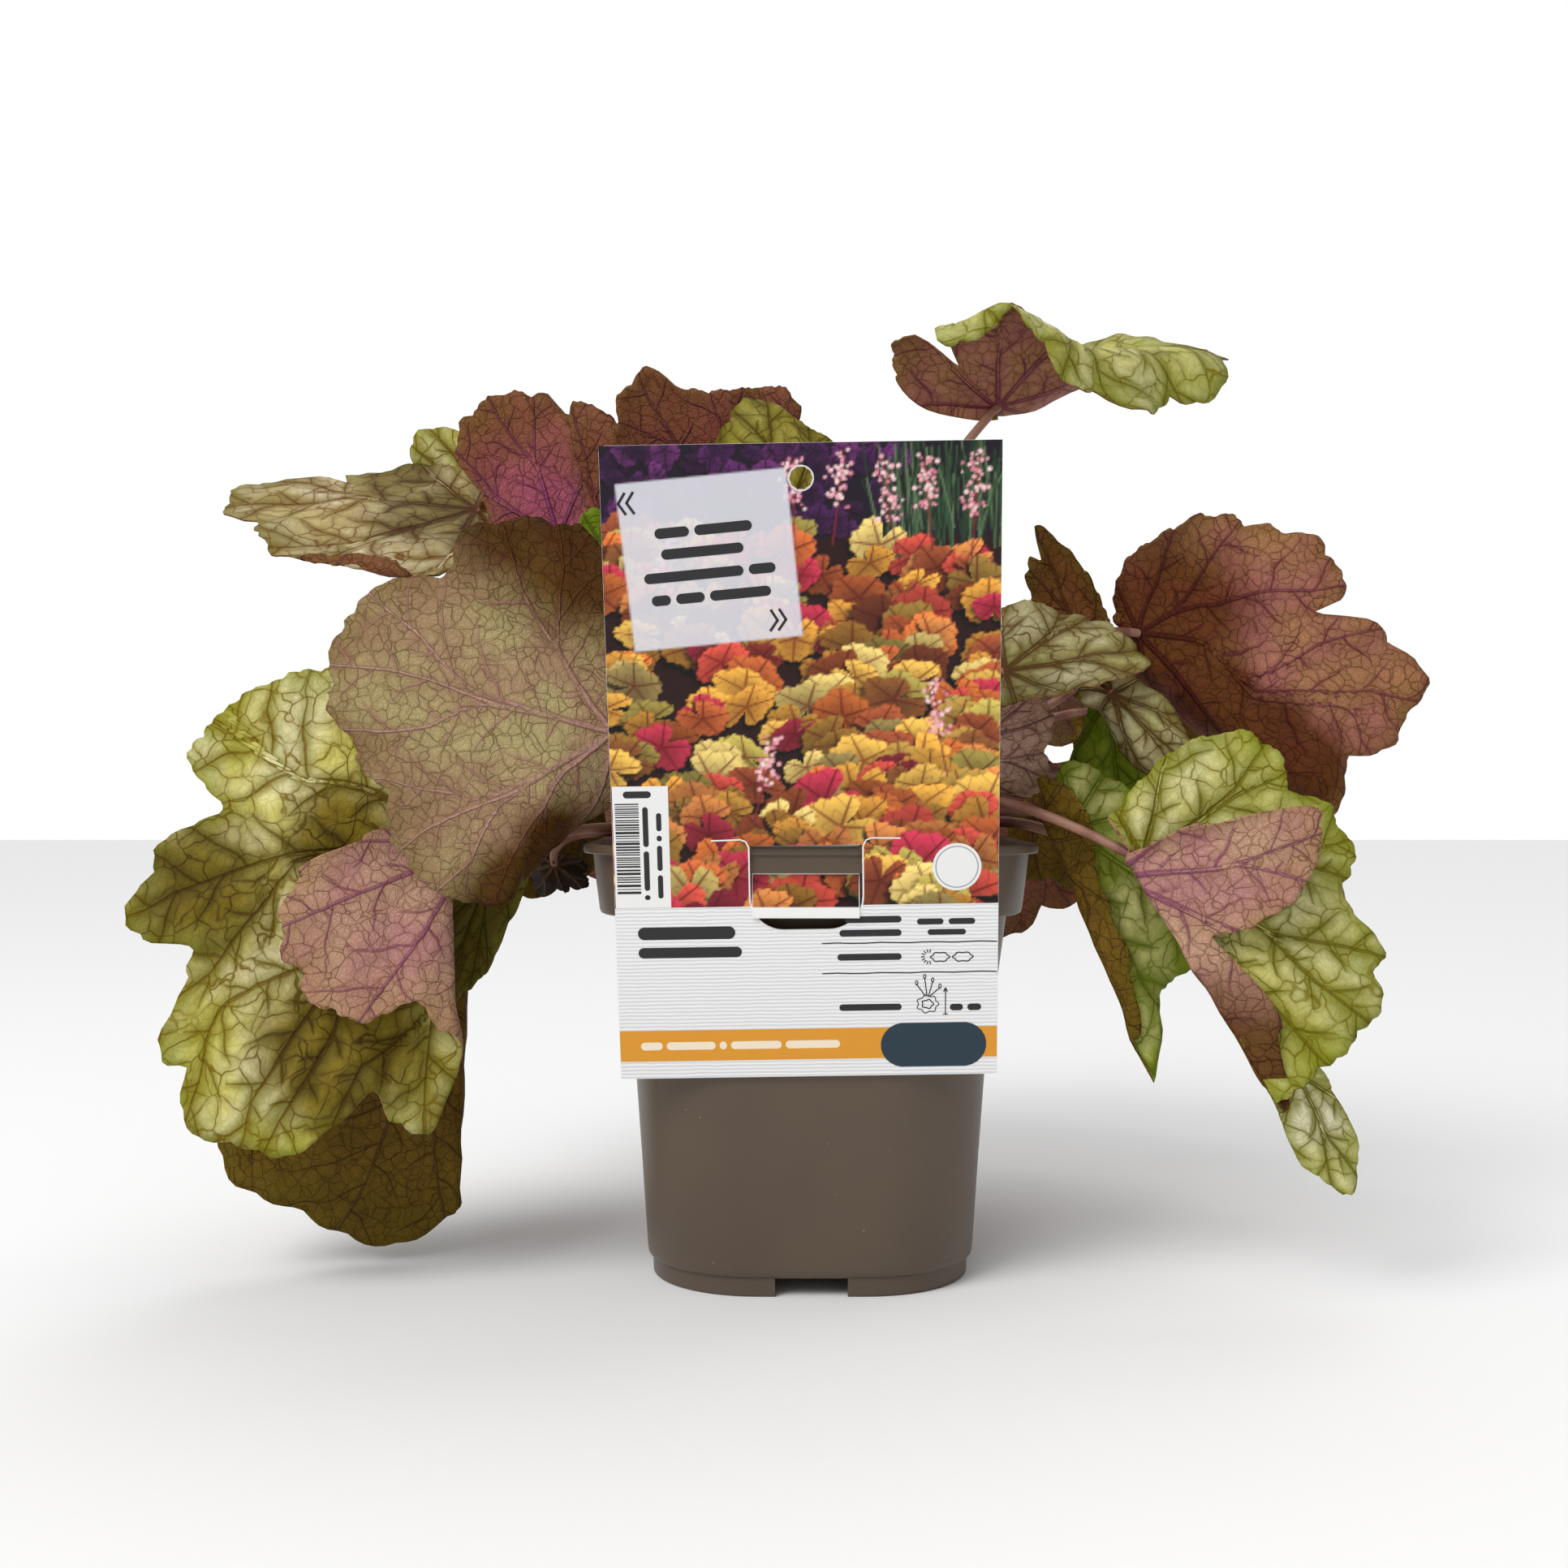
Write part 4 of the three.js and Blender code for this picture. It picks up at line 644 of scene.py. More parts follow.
# painted shade in the soft round places, darker where folds, valleys and turned-away parts lie in shade; on a
# few leaves a plain change of colour
amount = w.line(w.noise(spot, 6.0, 2.0), 0.36, w.minus(tint, 0.18))
tone = w.mix(1.0, tone, w.mix(w.fade(amount, 0.08, 0.85), (1, 1, 1, 1), given["Tint"]), "MULTIPLY")
grain = w.noise(spot, 240.0, 2.0)
light = w.fade(grain, 0.2, 0.8, 0.86, 1.1)
tone = w.mix(1.0, tone, w.add("ShaderNodeCombineXYZ", {0: light, 1: light, 2: light}), "MULTIPLY")
high = w.line(minor, 0.6, main)
high = w.line(net, 0.32, high)
high = w.line(fine_net, 0.14, high)
high = w.line(grain, 0.1, w.times(high, given["Ridge"]))
w.feed(result.inputs["Color"], tone)
w.feed(result.inputs["Roughness"], w.fade(grain, 0.2, 0.8, 0.5, 0.62))
w.feed(result.inputs["Height"], high)
leaf_skin_tree = w.tree

# the five tones are flesh, second flesh, vein, net and margin
TONES = ("Flesh", "Second Flesh", "Vein", "Net", "Margin")
TOPS = {
    "cream": ((216, 202, 168), (188, 170, 116), (108, 58, 16), (112, 74, 28), (114, 112, 34)),
    "lime": ((242, 234, 184), (218, 208, 114), (116, 86, 0), (120, 98, 0), (126, 132, 6)),
    "mint": ((218, 212, 156), (198, 192, 106), (104, 92, 0), (114, 104, 2), (122, 132, 8)),
    "striped": ((204, 196, 156), (174, 168, 108), (88, 56, 20), (96, 70, 26), (112, 104, 36)),
    "pale": ((250, 246, 206), (238, 234, 158), (112, 104, 14), (126, 116, 28), (150, 156, 34)),
    "green": ((146, 166, 36), (122, 138, 16), (80, 92, 4), (86, 100, 8), (106, 130, 12)),
    "patchy": ((212, 208, 136), (150, 166, 48), (98, 112, 12), (104, 116, 20), (100, 112, 12)),
    "olive": ((112, 98, 30), (92, 80, 20), (68, 52, 10), (76, 60, 14), (98, 100, 20)),
    "dry": ((66, 44, 28), (48, 32, 20), (90, 64, 42), (40, 26, 16), (34, 22, 14)),
}
UNDERS = {
    "tan": ((176, 160, 112), (164, 134, 102), (164, 118, 106), (104, 74, 48), (108, 82, 36)),
    "rose": ((192, 152, 126), (180, 128, 124), (134, 68, 98), (112, 66, 52), (156, 122, 72)),
    "brown": ((170, 122, 84), (170, 106, 100), (114, 40, 62), (88, 44, 22), (120, 86, 32)),
    "plum": ((130, 76, 52), (138, 74, 64), (98, 36, 52), (76, 32, 18), (110, 84, 30)),
    "rust": ((124, 78, 40), (112, 66, 28), (84, 34, 18), (70, 34, 8), (104, 90, 26)),
    "umber": ((116, 86, 24), (96, 70, 12), (74, 42, 12), (60, 38, 4), (108, 92, 16)),
    "grey": ((220, 180, 156), (204, 164, 142), (134, 80, 84), (112, 78, 62), (144, 116, 80)),
    "dry": ((58, 38, 24), (44, 30, 20), (80, 56, 38), (36, 24, 16), (30, 20, 14)),
}
FACES = {
    "top": {"Vein Width": 2.2, "Halo": 4.6, "Halo Strength": 0.76, "Net Strength": 0.86, "Groove Shade": 0.34,
            "Margin Strength": 0.85, "Ridge": -1.0, "Net Scale": 13.5},
    "under": {"Vein Width": 1.7, "Halo": 3.2, "Halo Strength": 0.3, "Net Strength": 0.6, "Groove Shade": 0.2,
              "Margin Strength": 0.7, "Ridge": 1.8, "Net Scale": 27.0},
}


def leaf_material(f, face):
    mat, skin, w = material(f["name"] + "_" + face)
    settings = dict(FACES[face], Seed=f["seed"] * 1.7)
    tones = TOPS[f["top"]] if face == "top" else UNDERS[f["under"]]
    settings.update((label, colour(*tone)) for label, tone in zip(TONES, tones))
    # underneath, the painted highlight along the middle of the veins
    if face == "under":
        settings["Vein Highlight"] = f["core"]
    # the colour of the painted shade, as a share of the flesh
    tinted_face, tint, _ = f["tint"]
    if tinted_face == face:
        settings["Tint"] = tuple(a / b for a, b in zip(colour(*tint), settings["Flesh"]))
    node = w.tree.nodes.new("ShaderNodeGroup")
    node.node_tree = leaf_skin_tree
    for label, value in settings.items():
        node.inputs[label].default_value = value
    w.feed(skin.inputs["Base Color"], node.outputs["Color"])
    w.feed(skin.inputs["Roughness"], node.outputs["Roughness"])
    w.relief(skin, 0.7, 0.0007, node.outputs["Height"])
    skin.inputs["Specular IOR Level"].default_value = 0.12
    return mat


stalk_mat, skin, w = material("stalk_skin", 0.5)
streak = w.fade(w.noise(w.place(), 90.0, 3.0), 0.35, 0.65)
w.feed(skin.inputs["Base Color"], w.mix(streak, colour(116, 64, 52), colour(152, 110, 88)))

BROAD = ("leaf_01", "leaf_02", "leaf_16", "leaf_23")
for f in LEAVES:
    name = f["name"]
    large = f["size"] > 40 and f["seed"] < 26
    grid = (320, 30) if name in BROAD else (220, 20) if large else (150, 14)
    blade = leaf_blade(f, *grid, [leaf_material(f, "under"), leaf_material(f, "top")])
    path = stalk_path(f, 36)
    stalk = tube(name + "_stalk", path, np.linspace(STALK_BASE, STALK_END, len(path)), 12)
    stalk.data.materials.append(stalk_mat)
    smooth(stalk, 60)
    for piece, slot in ((blade, "foliage_top"), (stalk, "foliage_under")):
        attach(piece, "root")
        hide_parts(name)

# ---------------------------------------------------------------- pot

def rounded_ring(half, radius, z, arc=14):
    """The points of one rounded square."""
    points = []
    for quarter in range(4):
        cx = (half - radius) * (1 if quarter in (0, 3) else -1)
        cy = (half - radius) * (1 if quarter < 2 else -1)
        for k in range(arc + 1):
            a = math.radians(90 * quarter + 90 * k / arc)
            points.append((cx + radius * math.cos(a), cy + radius * math.sin(a), z))
    return points


def loft(name, rings, first, last, arc=14):
    """Closed skin over rounded-square rings [half width, corner radius, z], with a pole at each end."""
    points = []
    for half, radius, z in rings:
        points += rounded_ring(half, radius, z, arc)
    n = 4 * (arc + 1)
    faces = ring_faces(len(rings), n)
    a, b = len(points), len(points) + 1
    points += [(0, 0, first), (0, 0, last)]
    faces += [(a, (k + 1) % n, k) for k in range(n)]
    end = (len(rings) - 1) * n
    faces += [(b, end + k, end + (k + 1) % n) for k in range(n)]
    return mesh_object(name, np.array(points) + CENTRE, faces)


def box(name, low, high, turn=0):
    """A block between two corners, turned about the pot's axis."""
    bpy.ops.mesh.primitive_cube_add(size=1)
    obj = bpy.context.object
    obj.name = name
    low, high = np.array(low, float), np.array(high, float)
    co = np.array([v.co for v in obj.data.vertices]) * (high - low) + (low + high) / 2
    c, s = math.cos(math.radians(turn)), math.sin(math.radians(turn))
    co = np.stack([co[:, 0] * c - co[:, 1] * s, co[:, 0] * s + co[:, 1] * c, co[:, 2]], -1)
    obj.data.vertices.foreach_set("co", ((co + CENTRE) * MM).ravel())
    return obj


def combine(obj, tool, operation):
    """Cuts a tool out of a piece or joins it on."""
    make_active(obj)
    cut = obj.modifiers.new("cut", "BOOLEAN")
    cut.operation = operation
    cut.object = tool
    cut.solver = "EXACT"
    bpy.ops.object.modifier_apply(modifier=cut.name)
    bpy.data.objects.remove(tool)


pot = loft("pot_shell", [
    (30, 24, 5.3), (43.0, 28, 5.3), (43.7, 28, 4.8), (43.4, 28, 0.4), (43.8, 28, 0), (45.8, 31, 0),
    (46.4, 31, 0.5), (46.6, 31, 5.4), (47.3, 31, 5.8), (47.8, 31, 6.6), (48.0, 31, 8.0), (49.6, 30.5, 35),
    (51.4, 30, 63), (54.2, 29.2, 85), (56.7, 28.5, 106.2), (57.2, 28.5, 106.9), (59.8, 28.5, 107.0),
    (60.4, 28.5, 107.4), (60.7, 28.5, 108.4), (61.6, 28.2, 116.5), (62.4, 28, 124.3), (62.8, 28, 124.5),
    (64.5, 28.5, 124.5), (64.9, 28.8, 124.8), (65, 28.8, 125.6), (64.9, 28.8, 126.5), (64.4, 28.5, 126.95),
    (61.7, 27.2, 127), (61.2, 27, 126.5), (60.9, 26.8, 124), (59.5, 27.1, 108.6), (59.1, 27.1, 107.8),
    (55.9, 27.1, 107.6), (55.4, 27.1, 106.8), (53.0, 27.6, 85), (50.0, 28.6, 63), (46.6, 29.8, 8.5),
    (45.4, 29.8, 7.2), (30, 24, 7.1)], 5.3, 7.1)
for turn in (0, 90, 180, 270):
    combine(pot, box("notch", (-10.25, 40, -1), (10.25, 60, 5.3), turn), "DIFFERENCE")
for x, y in ((28, 28), (-28, 28), (28, -28), (-28, -28), (0, 0)):
    bpy.ops.mesh.primitive_cylinder_add(vertices=32, radius=4 * MM, depth=8 * MM,
                                        location=((x + CENTRE[0]) * MM, (y + CENTRE[1]) * MM, 6 * MM))
    combine(pot, bpy.context.object, "DIFFERENCE")
combine(pot, box("strap_back", (-20.5, -62, 116), (20.5, -60.2, 126.4)), "UNION")
combine(pot, box("strap", (-20.5, -64.1, 119.8), (20.5, -61.6, 124.6)), "UNION")
combine(pot, box("slot", (-17.6, -63.2, 116.5), (17.6, -61.7, 129)), "DIFFERENCE")
smooth(pot, 30)
pot_mat, skin, w = material("pot_plastic")
xyz = w.place()
cloud = w.noise(xyz, 22.0, 4.0)
tone = w.mix(w.fade(cloud, 0.3, 0.7), colour(80, 66, 52), colour(87, 72, 57))
tone = w.mix(w.fade(w.noise(xyz, 420.0, 2.0), 0.74, 0.8, 0.0, 0.5), tone, colour(140, 128, 114))
w.feed(skin.inputs["Base Color"], tone)
w.feed(skin.inputs["Roughness"], w.fade(cloud, 0.3, 0.7, 0.36, 0.46))
w.relief(skin, 0.25, 0.0002, w.noise(xyz, 900.0, 2.0))
pot.data.materials.append(pot_mat)
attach(pot, "root")
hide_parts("pot")

# ---------------------------------------------------------------- soil and crown

soil = loft("soil_body", [
    (30, 24, 7.4), (45.6, 29.4, 7.5), (49.6, 28.2, 63), (54.9, 26.7, 107.2), (55.2, 26.7, 108.4),
    (59.0, 26.8, 109.1), (59.6, 26.6, 113.6), (59.0, 26.4, 114.4), (56, 26, 114.9), (52, 25, 115),
    (48, 24, 115), (44, 23, 115), (40, 22, 115), (36, 21, 115), (32, 20, 115), (28, 19, 115), (25, 18, 115),
    (20, 15, 115), (14, 11, 115), (7, 6, 115)], 7.4, 115)
draw = random.Random(7)
co = np.array([v.co for v in soil.data.vertices])
x, y = co[:, 0] / MM - CENTRE[0], co[:, 1] / MM - CENTRE[1]
lump = np.sin(0.21 * x + 2) * np.cos(0.19 * y - 2) + 0.5 * np.sin(0.4 * (x + y) + 2)
co[:, 2] += np.where(co[:, 2] > 0.1148, (0.6 * lump - 0.4) * MM, 0)
co[:, 2] -= np.where(np.hypot(x, y) < 25, 0.0026 * np.clip((25 - np.hypot(x, y)) / 5, 0, 1), 0)
soil.data.vertices.foreach_set("co", co.ravel())
crumbs = []
for _ in range(420):
    a, reach_out = draw.uniform(0, 2 * math.pi), 25 + 33 * math.sqrt(draw.random())
    cx, cy = reach_out * math.cos(a), reach_out * math.sin(a)
    if max(abs(cx), abs(cy)) > 57:
        continue
    size = draw.uniform(0.7, 2.1)
    bpy.ops.mesh.primitive_ico_sphere_add(subdivisions=1, radius=1)
    crumb = bpy.context.object
    turn = draw.uniform(0, 6)
    c, s = math.cos(turn), math.sin(turn)
    corners = []
    for v in crumb.data.vertices:
        k = size * draw.uniform(0.7, 1.2)
        x, y, z = k * v.co.x * 1.3, k * v.co.y, k * v.co.z * 0.8
        corners.append((cx + x * c - y * s, cy + x * s + y * c, 114.7 + z))
    crumb.data.vertices.foreach_set("co", ((np.array(corners) + CENTRE) * MM).ravel())
    crumbs.append(crumb)
make_active(soil)
for crumb in crumbs:
    crumb.select_set(True)
bpy.ops.object.join()
soil_mat, skin, w = material("soil_peat", 0.95)
xyz = w.place()
fibre = w.noise(xyz, 420.0, 5.0)
tone = w.mix(w.fade(fibre, 0.35, 0.65), colour(34, 25, 19), colour(66, 50, 38))
chip = w.fade(w.noise(xyz, 150.0, 2.0), 0.66, 0.7)
w.feed(skin.inputs["Base Color"], w.mix(chip, tone, colour(120, 104, 84)))
w.relief(skin, 0.8, 0.0009, fibre)
soil.data.materials.append(soil_mat)
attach(soil, "root")
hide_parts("soil")

profile = [(4, 108.9), (13.2, 109.3), (21.3, 109.5), (22, 113), (21.4, 115.4), (20.2, 117.5), (17.8, 119.2),
           (15.4, 120.2), (11.5, 120.8), (8.4, 121.0), (4, 121.3)]
sides = 72
points = []
for reach_out, z in profile:
    for k in range(sides):
        a = 2 * math.pi * k / sides
        bark = 0.25 * math.sin(17 * a + 3 * z) * (reach_out > 10)
        r = reach_out * (1 + 0.05 * math.sin(5 * a + z)) + bark
        x, y = r * math.cos(a), r * math.sin(a)
        rise = 0.9 * (math.sin(0.42 * x + 5) * math.cos(0.38 * y - 5)) if z > 115 else 0
        points.append((x, y, z + rise))
crown = mesh_object("crown_stock", np.array(points) + CENTRE, closed_faces(len(profile), sides))
smooth(crown, 60)
crown_mat, skin, w = material("crown_bark", 0.9)
bark = w.noise(w.place(), 240.0, 5.0)
w.feed(skin.inputs["Base Color"], w.mix(w.fade(bark, 0.35, 0.65), colour(52, 36, 26), colour(110, 82, 58)))
w.relief(skin, 0.9, 0.0012, bark)
crown.data.materials.append(crown_mat)
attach(crown, "root")
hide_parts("crown")

# ---------------------------------------------------------------- label

# The card in its own millimetres, right and up from CARD_PLACE, and the openings cut in it.
CARD_PLACE = np.array([-1.8, -66, 126])
CARD_TURN, CARD_LEAN = math.radians(-0.9), math.radians(11.8)
CARD_HALF, CARD_FOOT = 51.95, -64.1
HOLE_HEIGHT, HOLE_RADIUS = 99.1, 2.97
WINDOW_HALF, WINDOW_TOP, WINDOW_CORNER, WINDOW_BEND = 15.1, 1.6, 9.0, -13.0
# The picture is painted cell by cell on a grid over the card's face.
CELLS_WIDE, CELLS_HIGH = 230, 273
CELL = 2 * CARD_HALF / CELLS_WIDE
ART_LEFT, ART_LOW = -CARD_HALF, -15.27
CARD_TONE = colour(234, 234, 232)
INK = colour(44, 44, 46)


def card_point(u, v, out):
    """Card coordinates (right, up, out of its face) to the row frame, in millimetres."""
    c, s = math.cos(CARD_TURN), math.sin(CARD_TURN)
    x, z = u * c + v * s, v * c - u * s
    c, s = math.cos(CARD_LEAN), math.sin(CARD_LEAN)
    out = out + 0.3
    return np.stack([x, -out * c - z * s, z * c - out * s], -1) + CARD_PLACE + CENTRE


cell_u, cell_v = np.meshgrid(ART_LEFT + CELL * np.arange(CELLS_WIDE + 1),
                             ART_LOW + CELL * np.arange(CELLS_HIGH + 1))
art = np.zeros(cell_u.shape + (3,))
art[:] = np.array(colour(40, 14, 14)[:3])
art[cell_v > 84] = np.array(colour(26, 14, 30)[:3])
draw = random.Random(41)


def cells_near(cu, cv, size):
    """The rows and columns of the picture round a place."""
    i = slice(max(int((cv - size - ART_LOW) / CELL), 0), max(int((cv + size - ART_LOW) / CELL) + 2, 0))
    j = slice(max(int((cu - size - ART_LEFT) / CELL), 0), max(int((cu + size - ART_LEFT) / CELL) + 2, 0))
    return i, j


def stamp(i, j, mask, tone):
    """Lays a tone over the picture, as thickly as the mask says."""
    art[i, j] += mask[..., None] * (np.asarray(tone)[..., :3] - art[i, j])


def paint_leaf(cu, cv, size, squash, tilt, spin, flesh, vein):
    """A lobed leaf with its shadow, five main veins and side veins between them."""
    i, j = cells_near(cu, cv, size * 1.35)
    x, y = cell_u[i, j] - cu, cell_v[i, j] - cv
    if not x.size:
        return
    c, s = math.cos(tilt), math.sin(tilt)

    def polar(dx, dy):
        a, b = (x - dx) * c + (y - dy) * s, ((y - dy) * c - (x - dx) * s) / squash
        r, phi = np.hypot(a, b), np.arctan2(b, a) + spin
        rim = size * (0.8 + 0.2 * np.abs(np.cos(2.5 * phi)) ** 0.5 + 0.03 * np.cos(20 * phi + 1))
        rim *= 1 - 0.8 * np.exp(-((np.abs((phi + 9.42) % 6.283 - 3.142) - 3.142) / 0.22) ** 2)
        return r, phi, rim

    r, phi, rim = polar(-0.1 * size, -0.16 * size)
    art[i, j] *= (1 - 0.85 * np.clip((rim * 1.15 - r) / 1.8, 0, 1))[..., None]
    r, phi, rim = polar(0, 0)
    t = r / rim
    light = 0.66 + 0.42 * np.clip(y / size + 0.25 * x / size, -1, 1) + 0.3 * t ** 2
    tone = np.array(flesh[:3]) * light[..., None]
    step = 2 * math.pi / 5
    turn = (phi / step + 0.5) % 1 - 0.5
    d = np.abs(turn) * step * r
    e = np.abs(((r - 0.7 * d) / (0.3 * size)) % 1 - 0.5) * 0.3 * size
    e = 0.15 * size - e
    mask = np.clip(1.2 - d / (0.3 + 0.06 * size * (1 - t)), 0, 1) * 0.95
    mask = np.maximum(mask, np.clip(1 - e / 0.36, 0, 1) * 0.6)
    mask = np.maximum(mask, 0.75 * np.exp(-3 * t))
    tone = tone + mask[..., None] * (np.array(vein[:3]) - tone)
    stamp(i, j, np.clip((rim - r) / CELL + 0.5, 0, 1), tone)


def paint_line(points, wide, tone):
    for (u0, v0), (u1, v1) in zip(points, points[1:]):
        steps = int(math.hypot(u1 - u0, v1 - v0) / 0.3) + 1
        for k in range(steps):
            q = k / steps
            paint_dot(u0 + (u1 - u0) * q, v0 + (v1 - v0) * q, wide, tone)


def paint_dot(cu, cv, size, tone):
    i, j = cells_near(cu, cv, size + 1)
    stamp(i, j, np.clip((size - np.hypot(cell_u[i, j] - cu, cell_v[i, j] - cv)) / CELL + 0.5, 0, 1), tone)


WARM = [(236, 188, 84), (226, 160, 62), (232, 124, 56), (204, 104, 52), (216, 82, 66), (196, 52, 76),
        (196, 178, 84), (242, 214, 124), (168, 84, 48), (238, 176, 70), (224, 142, 72)]
PURPLES = [(92, 36, 98), (70, 26, 80), (112, 48, 112), (54, 22, 60)]
GRASSES = [(52, 84, 50), (34, 58, 38), (96, 120, 84), (20, 36, 26)]
PINKS = [(242, 176, 184), (222, 132, 150), (250, 214, 214)]
for _ in range(90):
    tone = draw.choice(PURPLES)
    paint_leaf(draw.uniform(-52, 30), draw.uniform(84, 108), draw.uniform(2.5, 5), draw.uniform(0.5, 1),
               draw.uniform(0, 6), draw.uniform(0, 6), colour(*tone), colour(30, 10, 36))
for _ in range(130):
    u = draw.uniform(20, 52)
    lean = draw.uniform(-5, 5)
    paint_line([(u, draw.uniform(78, 92)), (u + lean, draw.uniform(98, 110))], 0.18,
               colour(*draw.choice(GRASSES)))
for v in np.arange(86, -19, -1.5):
    for _ in range(4):
        u = draw.uniform(-54, 54)
        size = draw.uniform(5.0, 8.6) + (86 - v) * 0.02
        if v + 0.12 * u > 84:
            continue
        flesh = draw.choice(WARM)
        dim = draw.choice((0.35, 0.6, 0.85, 1.0, 1.1))
        red, green, blue = [c * 0.4 * (0.5 + 0.5 * dim) for c in flesh]
        paint_leaf(u, v, size, draw.uniform(0.55, 0.95), draw.uniform(-0.6, 0.6), draw.uniform(0, 6),
                   [c * dim for c in colour(*flesh)[:3]], colour(red + 30, green * 0.8, blue * 0.8))
for u, v, top, lean in ((-38, 58, 30, 4), (26, 74, 30, -5), (8, 82, 24, 3), (38, 20, 26, -4),
                        (-14, 8, 24, 6), (44, 76, 30, 2), (34, 80, 24, -2), (-2, 84, 20, 0)):
    paint_line([(u, v), (u + lean * 0.6, v + top * 0.5), (u + lean, v + top)], 0.2, colour(120, 34, 44))
    for _ in range(60):
        q = draw.uniform(0.45, 1)
        paint_dot(u + lean * q + draw.gauss(0, 1.5), v + top * q + draw.gauss(0, 0.8),
                  draw.uniform(0.25, 0.6), colour(*draw.choice(PINKS)))
# the pale tilted panel: its two edges from one corner, and how far along each of them a cell lies
(au, av), (bu, bv) = (44.2, 3.6), (3.9, -43.5)
pu, pv = cell_u + 48.1, cell_v - 98.2
det = au * bv - av * bu
near_edge = np.ones(art.shape[:2])
for share in ((pu * bv - pv * bu) / det, (au * pv - av * pu) / det):
    near_edge = np.minimum(near_edge, np.minimum(share, 1 - share))
inside = np.clip(near_edge * 90 + 0.5, 0, 1)
stamp(slice(None), slice(None), inside * 0.8, colour(222, 222, 230))


def hole_depth(u, v):
    """How far inside the hanging hole and the window a point lies; below 0 outside them."""
    hole = HOLE_RADIUS - np.hypot(u, v - HOLE_HEIGHT)
    side = np.abs(u) - WINDOW_HALF
    cu, cv = side + WINDOW_CORNER, WINDOW_BEND - v
    corner = np.hypot(np.maximum(cu, 0), np.maximum(cv, 0)) - WINDOW_CORNER
    return hole, -np.maximum(np.where(cv > 0, corner, side), v - WINDOW_TOP)


def set_tone(obj, tones):
    """Gives each point of a print its own colour."""
    layer = obj.data.attributes.new("tone", "FLOAT_COLOR", "POINT")
    layer.data.foreach_set("color", np.concatenate([tones, np.ones((len(tones), 1))], 1).ravel())


def finish_print(obj, mat):
    obj.data.materials.append(mat)
    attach(obj, "root")


print_mat, skin, w = material("card_print", 0.42)
skin.inputs["Specular IOR Level"].default_value = 0.25
w.feed(skin.inputs["Base Color"], w.add("ShaderNodeAttribute", out="Color", attribute_name="tone"))
paper_mat, skin, w = material("card_paper", 0.45)
ribs = {"Vector": w.add("ShaderNodeUVMap", out="UV"), "Scale": 30.0, "Distortion": 1.6, "Detail": 2.0,
        "Detail Scale": 0.6}
rib = w.add("ShaderNodeTexWave", ribs, out="Fac", bands_direction="Y")
w.feed(skin.inputs["Base Color"], w.mix(w.fade(rib, 0.1, 0.9), colour(214, 214, 217), colour(240, 240, 239)))
w.relief(skin, 0.3, 0.0001, rib)


def quad(i, j, cols):
    """The face at row i and column j of a grid."""
    a = i * cols + j
    return a, a + 1, a + cols + 1, a + cols


def sheet(name, us, vs):
    """A grid on the card's face that stops cleanly at its openings, and the points that it kept."""
    pu, pv = np.meshgrid(us, vs)
    rows, cols = pu.shape
    solid = ~((hole_depth(pu, pv)[0] > 0) | (hole_depth(pu, pv)[1] > 0))
    quads = np.array([quad(i, j, cols) for i in range(rows - 1) for j in range(cols - 1)
                      if solid[i:i + 2, j:j + 2].any()])
    for _ in range(4):
        for k in (0, 1):
            depth = hole_depth(pu, pv)[k]
            gu = (hole_depth(pu + 0.01, pv)[k] - depth) / 0.01
            gv = (hole_depth(pu, pv + 0.01)[k] - depth) / 0.01
            depth = np.maximum(depth, 0)
            pu, pv = pu - gu * depth, pv - gv * depth
    used, index = np.unique(quads, return_inverse=True)
    pu, pv = pu.ravel()[used], pv.ravel()[used]
    obj = mesh_object(name, card_point(pu, pv, 0.02), index.reshape(quads.shape).tolist())
    layer = obj.data.uv_layers.new(name="UVMap")
    corner = np.empty(len(obj.data.loops), int)
    obj.data.loops.foreach_get("vertex_index", corner)
    layer.data.foreach_set("uv", (np.stack([pu, pv], -1)[corner] / 100).ravel())
    return obj, used


picture, used = sheet("label_picture", cell_u[0], cell_v[:, 0])
set_tone(picture, art.reshape(-1, 3)[used])
finish_print(picture, print_mat)
paper, _ = sheet("label_paper", np.linspace(-CARD_HALF, CARD_HALF, 80), np.linspace(CARD_FOOT, ART_LOW, 50))
finish_print(paper, paper_mat)

tu, tv = np.meshgrid(np.linspace(-14.4, 14.4, 60), np.linspace(108.0, 119.5, 30))
ty = np.interp(tv, (107.6, 112, 118, 120), (-63.1, -63.0, -62.4, -62.4)) - 0.33
tongue = mesh_object("label_tongue_print", np.stack([tu + CARD_PLACE[0], ty, tv], -1).reshape(-1, 3) + CENTRE,
                     [quad(i, j, 60) for i in range(29) for j in range(59)])
row = np.clip(((tv - CARD_PLACE[2] - ART_LOW) / CELL).astype(int), 0, len(art) - 1)
col = ((tu - ART_LEFT) / CELL).astype(int)
printed = (tv > 110.6)[..., None]
set_tone(tongue, np.where(printed, art[row, col] * 0.9, np.array(CARD_TONE[:3])).reshape(-1, 3))
finish_print(tongue, print_mat)

shapes = []


def polygon(points, tone, lift=0.05):
    """A flat mark on the card, lift millimetres above its face."""
    shapes.append((points, tone, lift))


def block(u0, v0, u1, v1, tone, lift=0.05):
    polygon([(u0, v0), (u1, v0), (u1, v1), (u0, v1)], tone, lift)


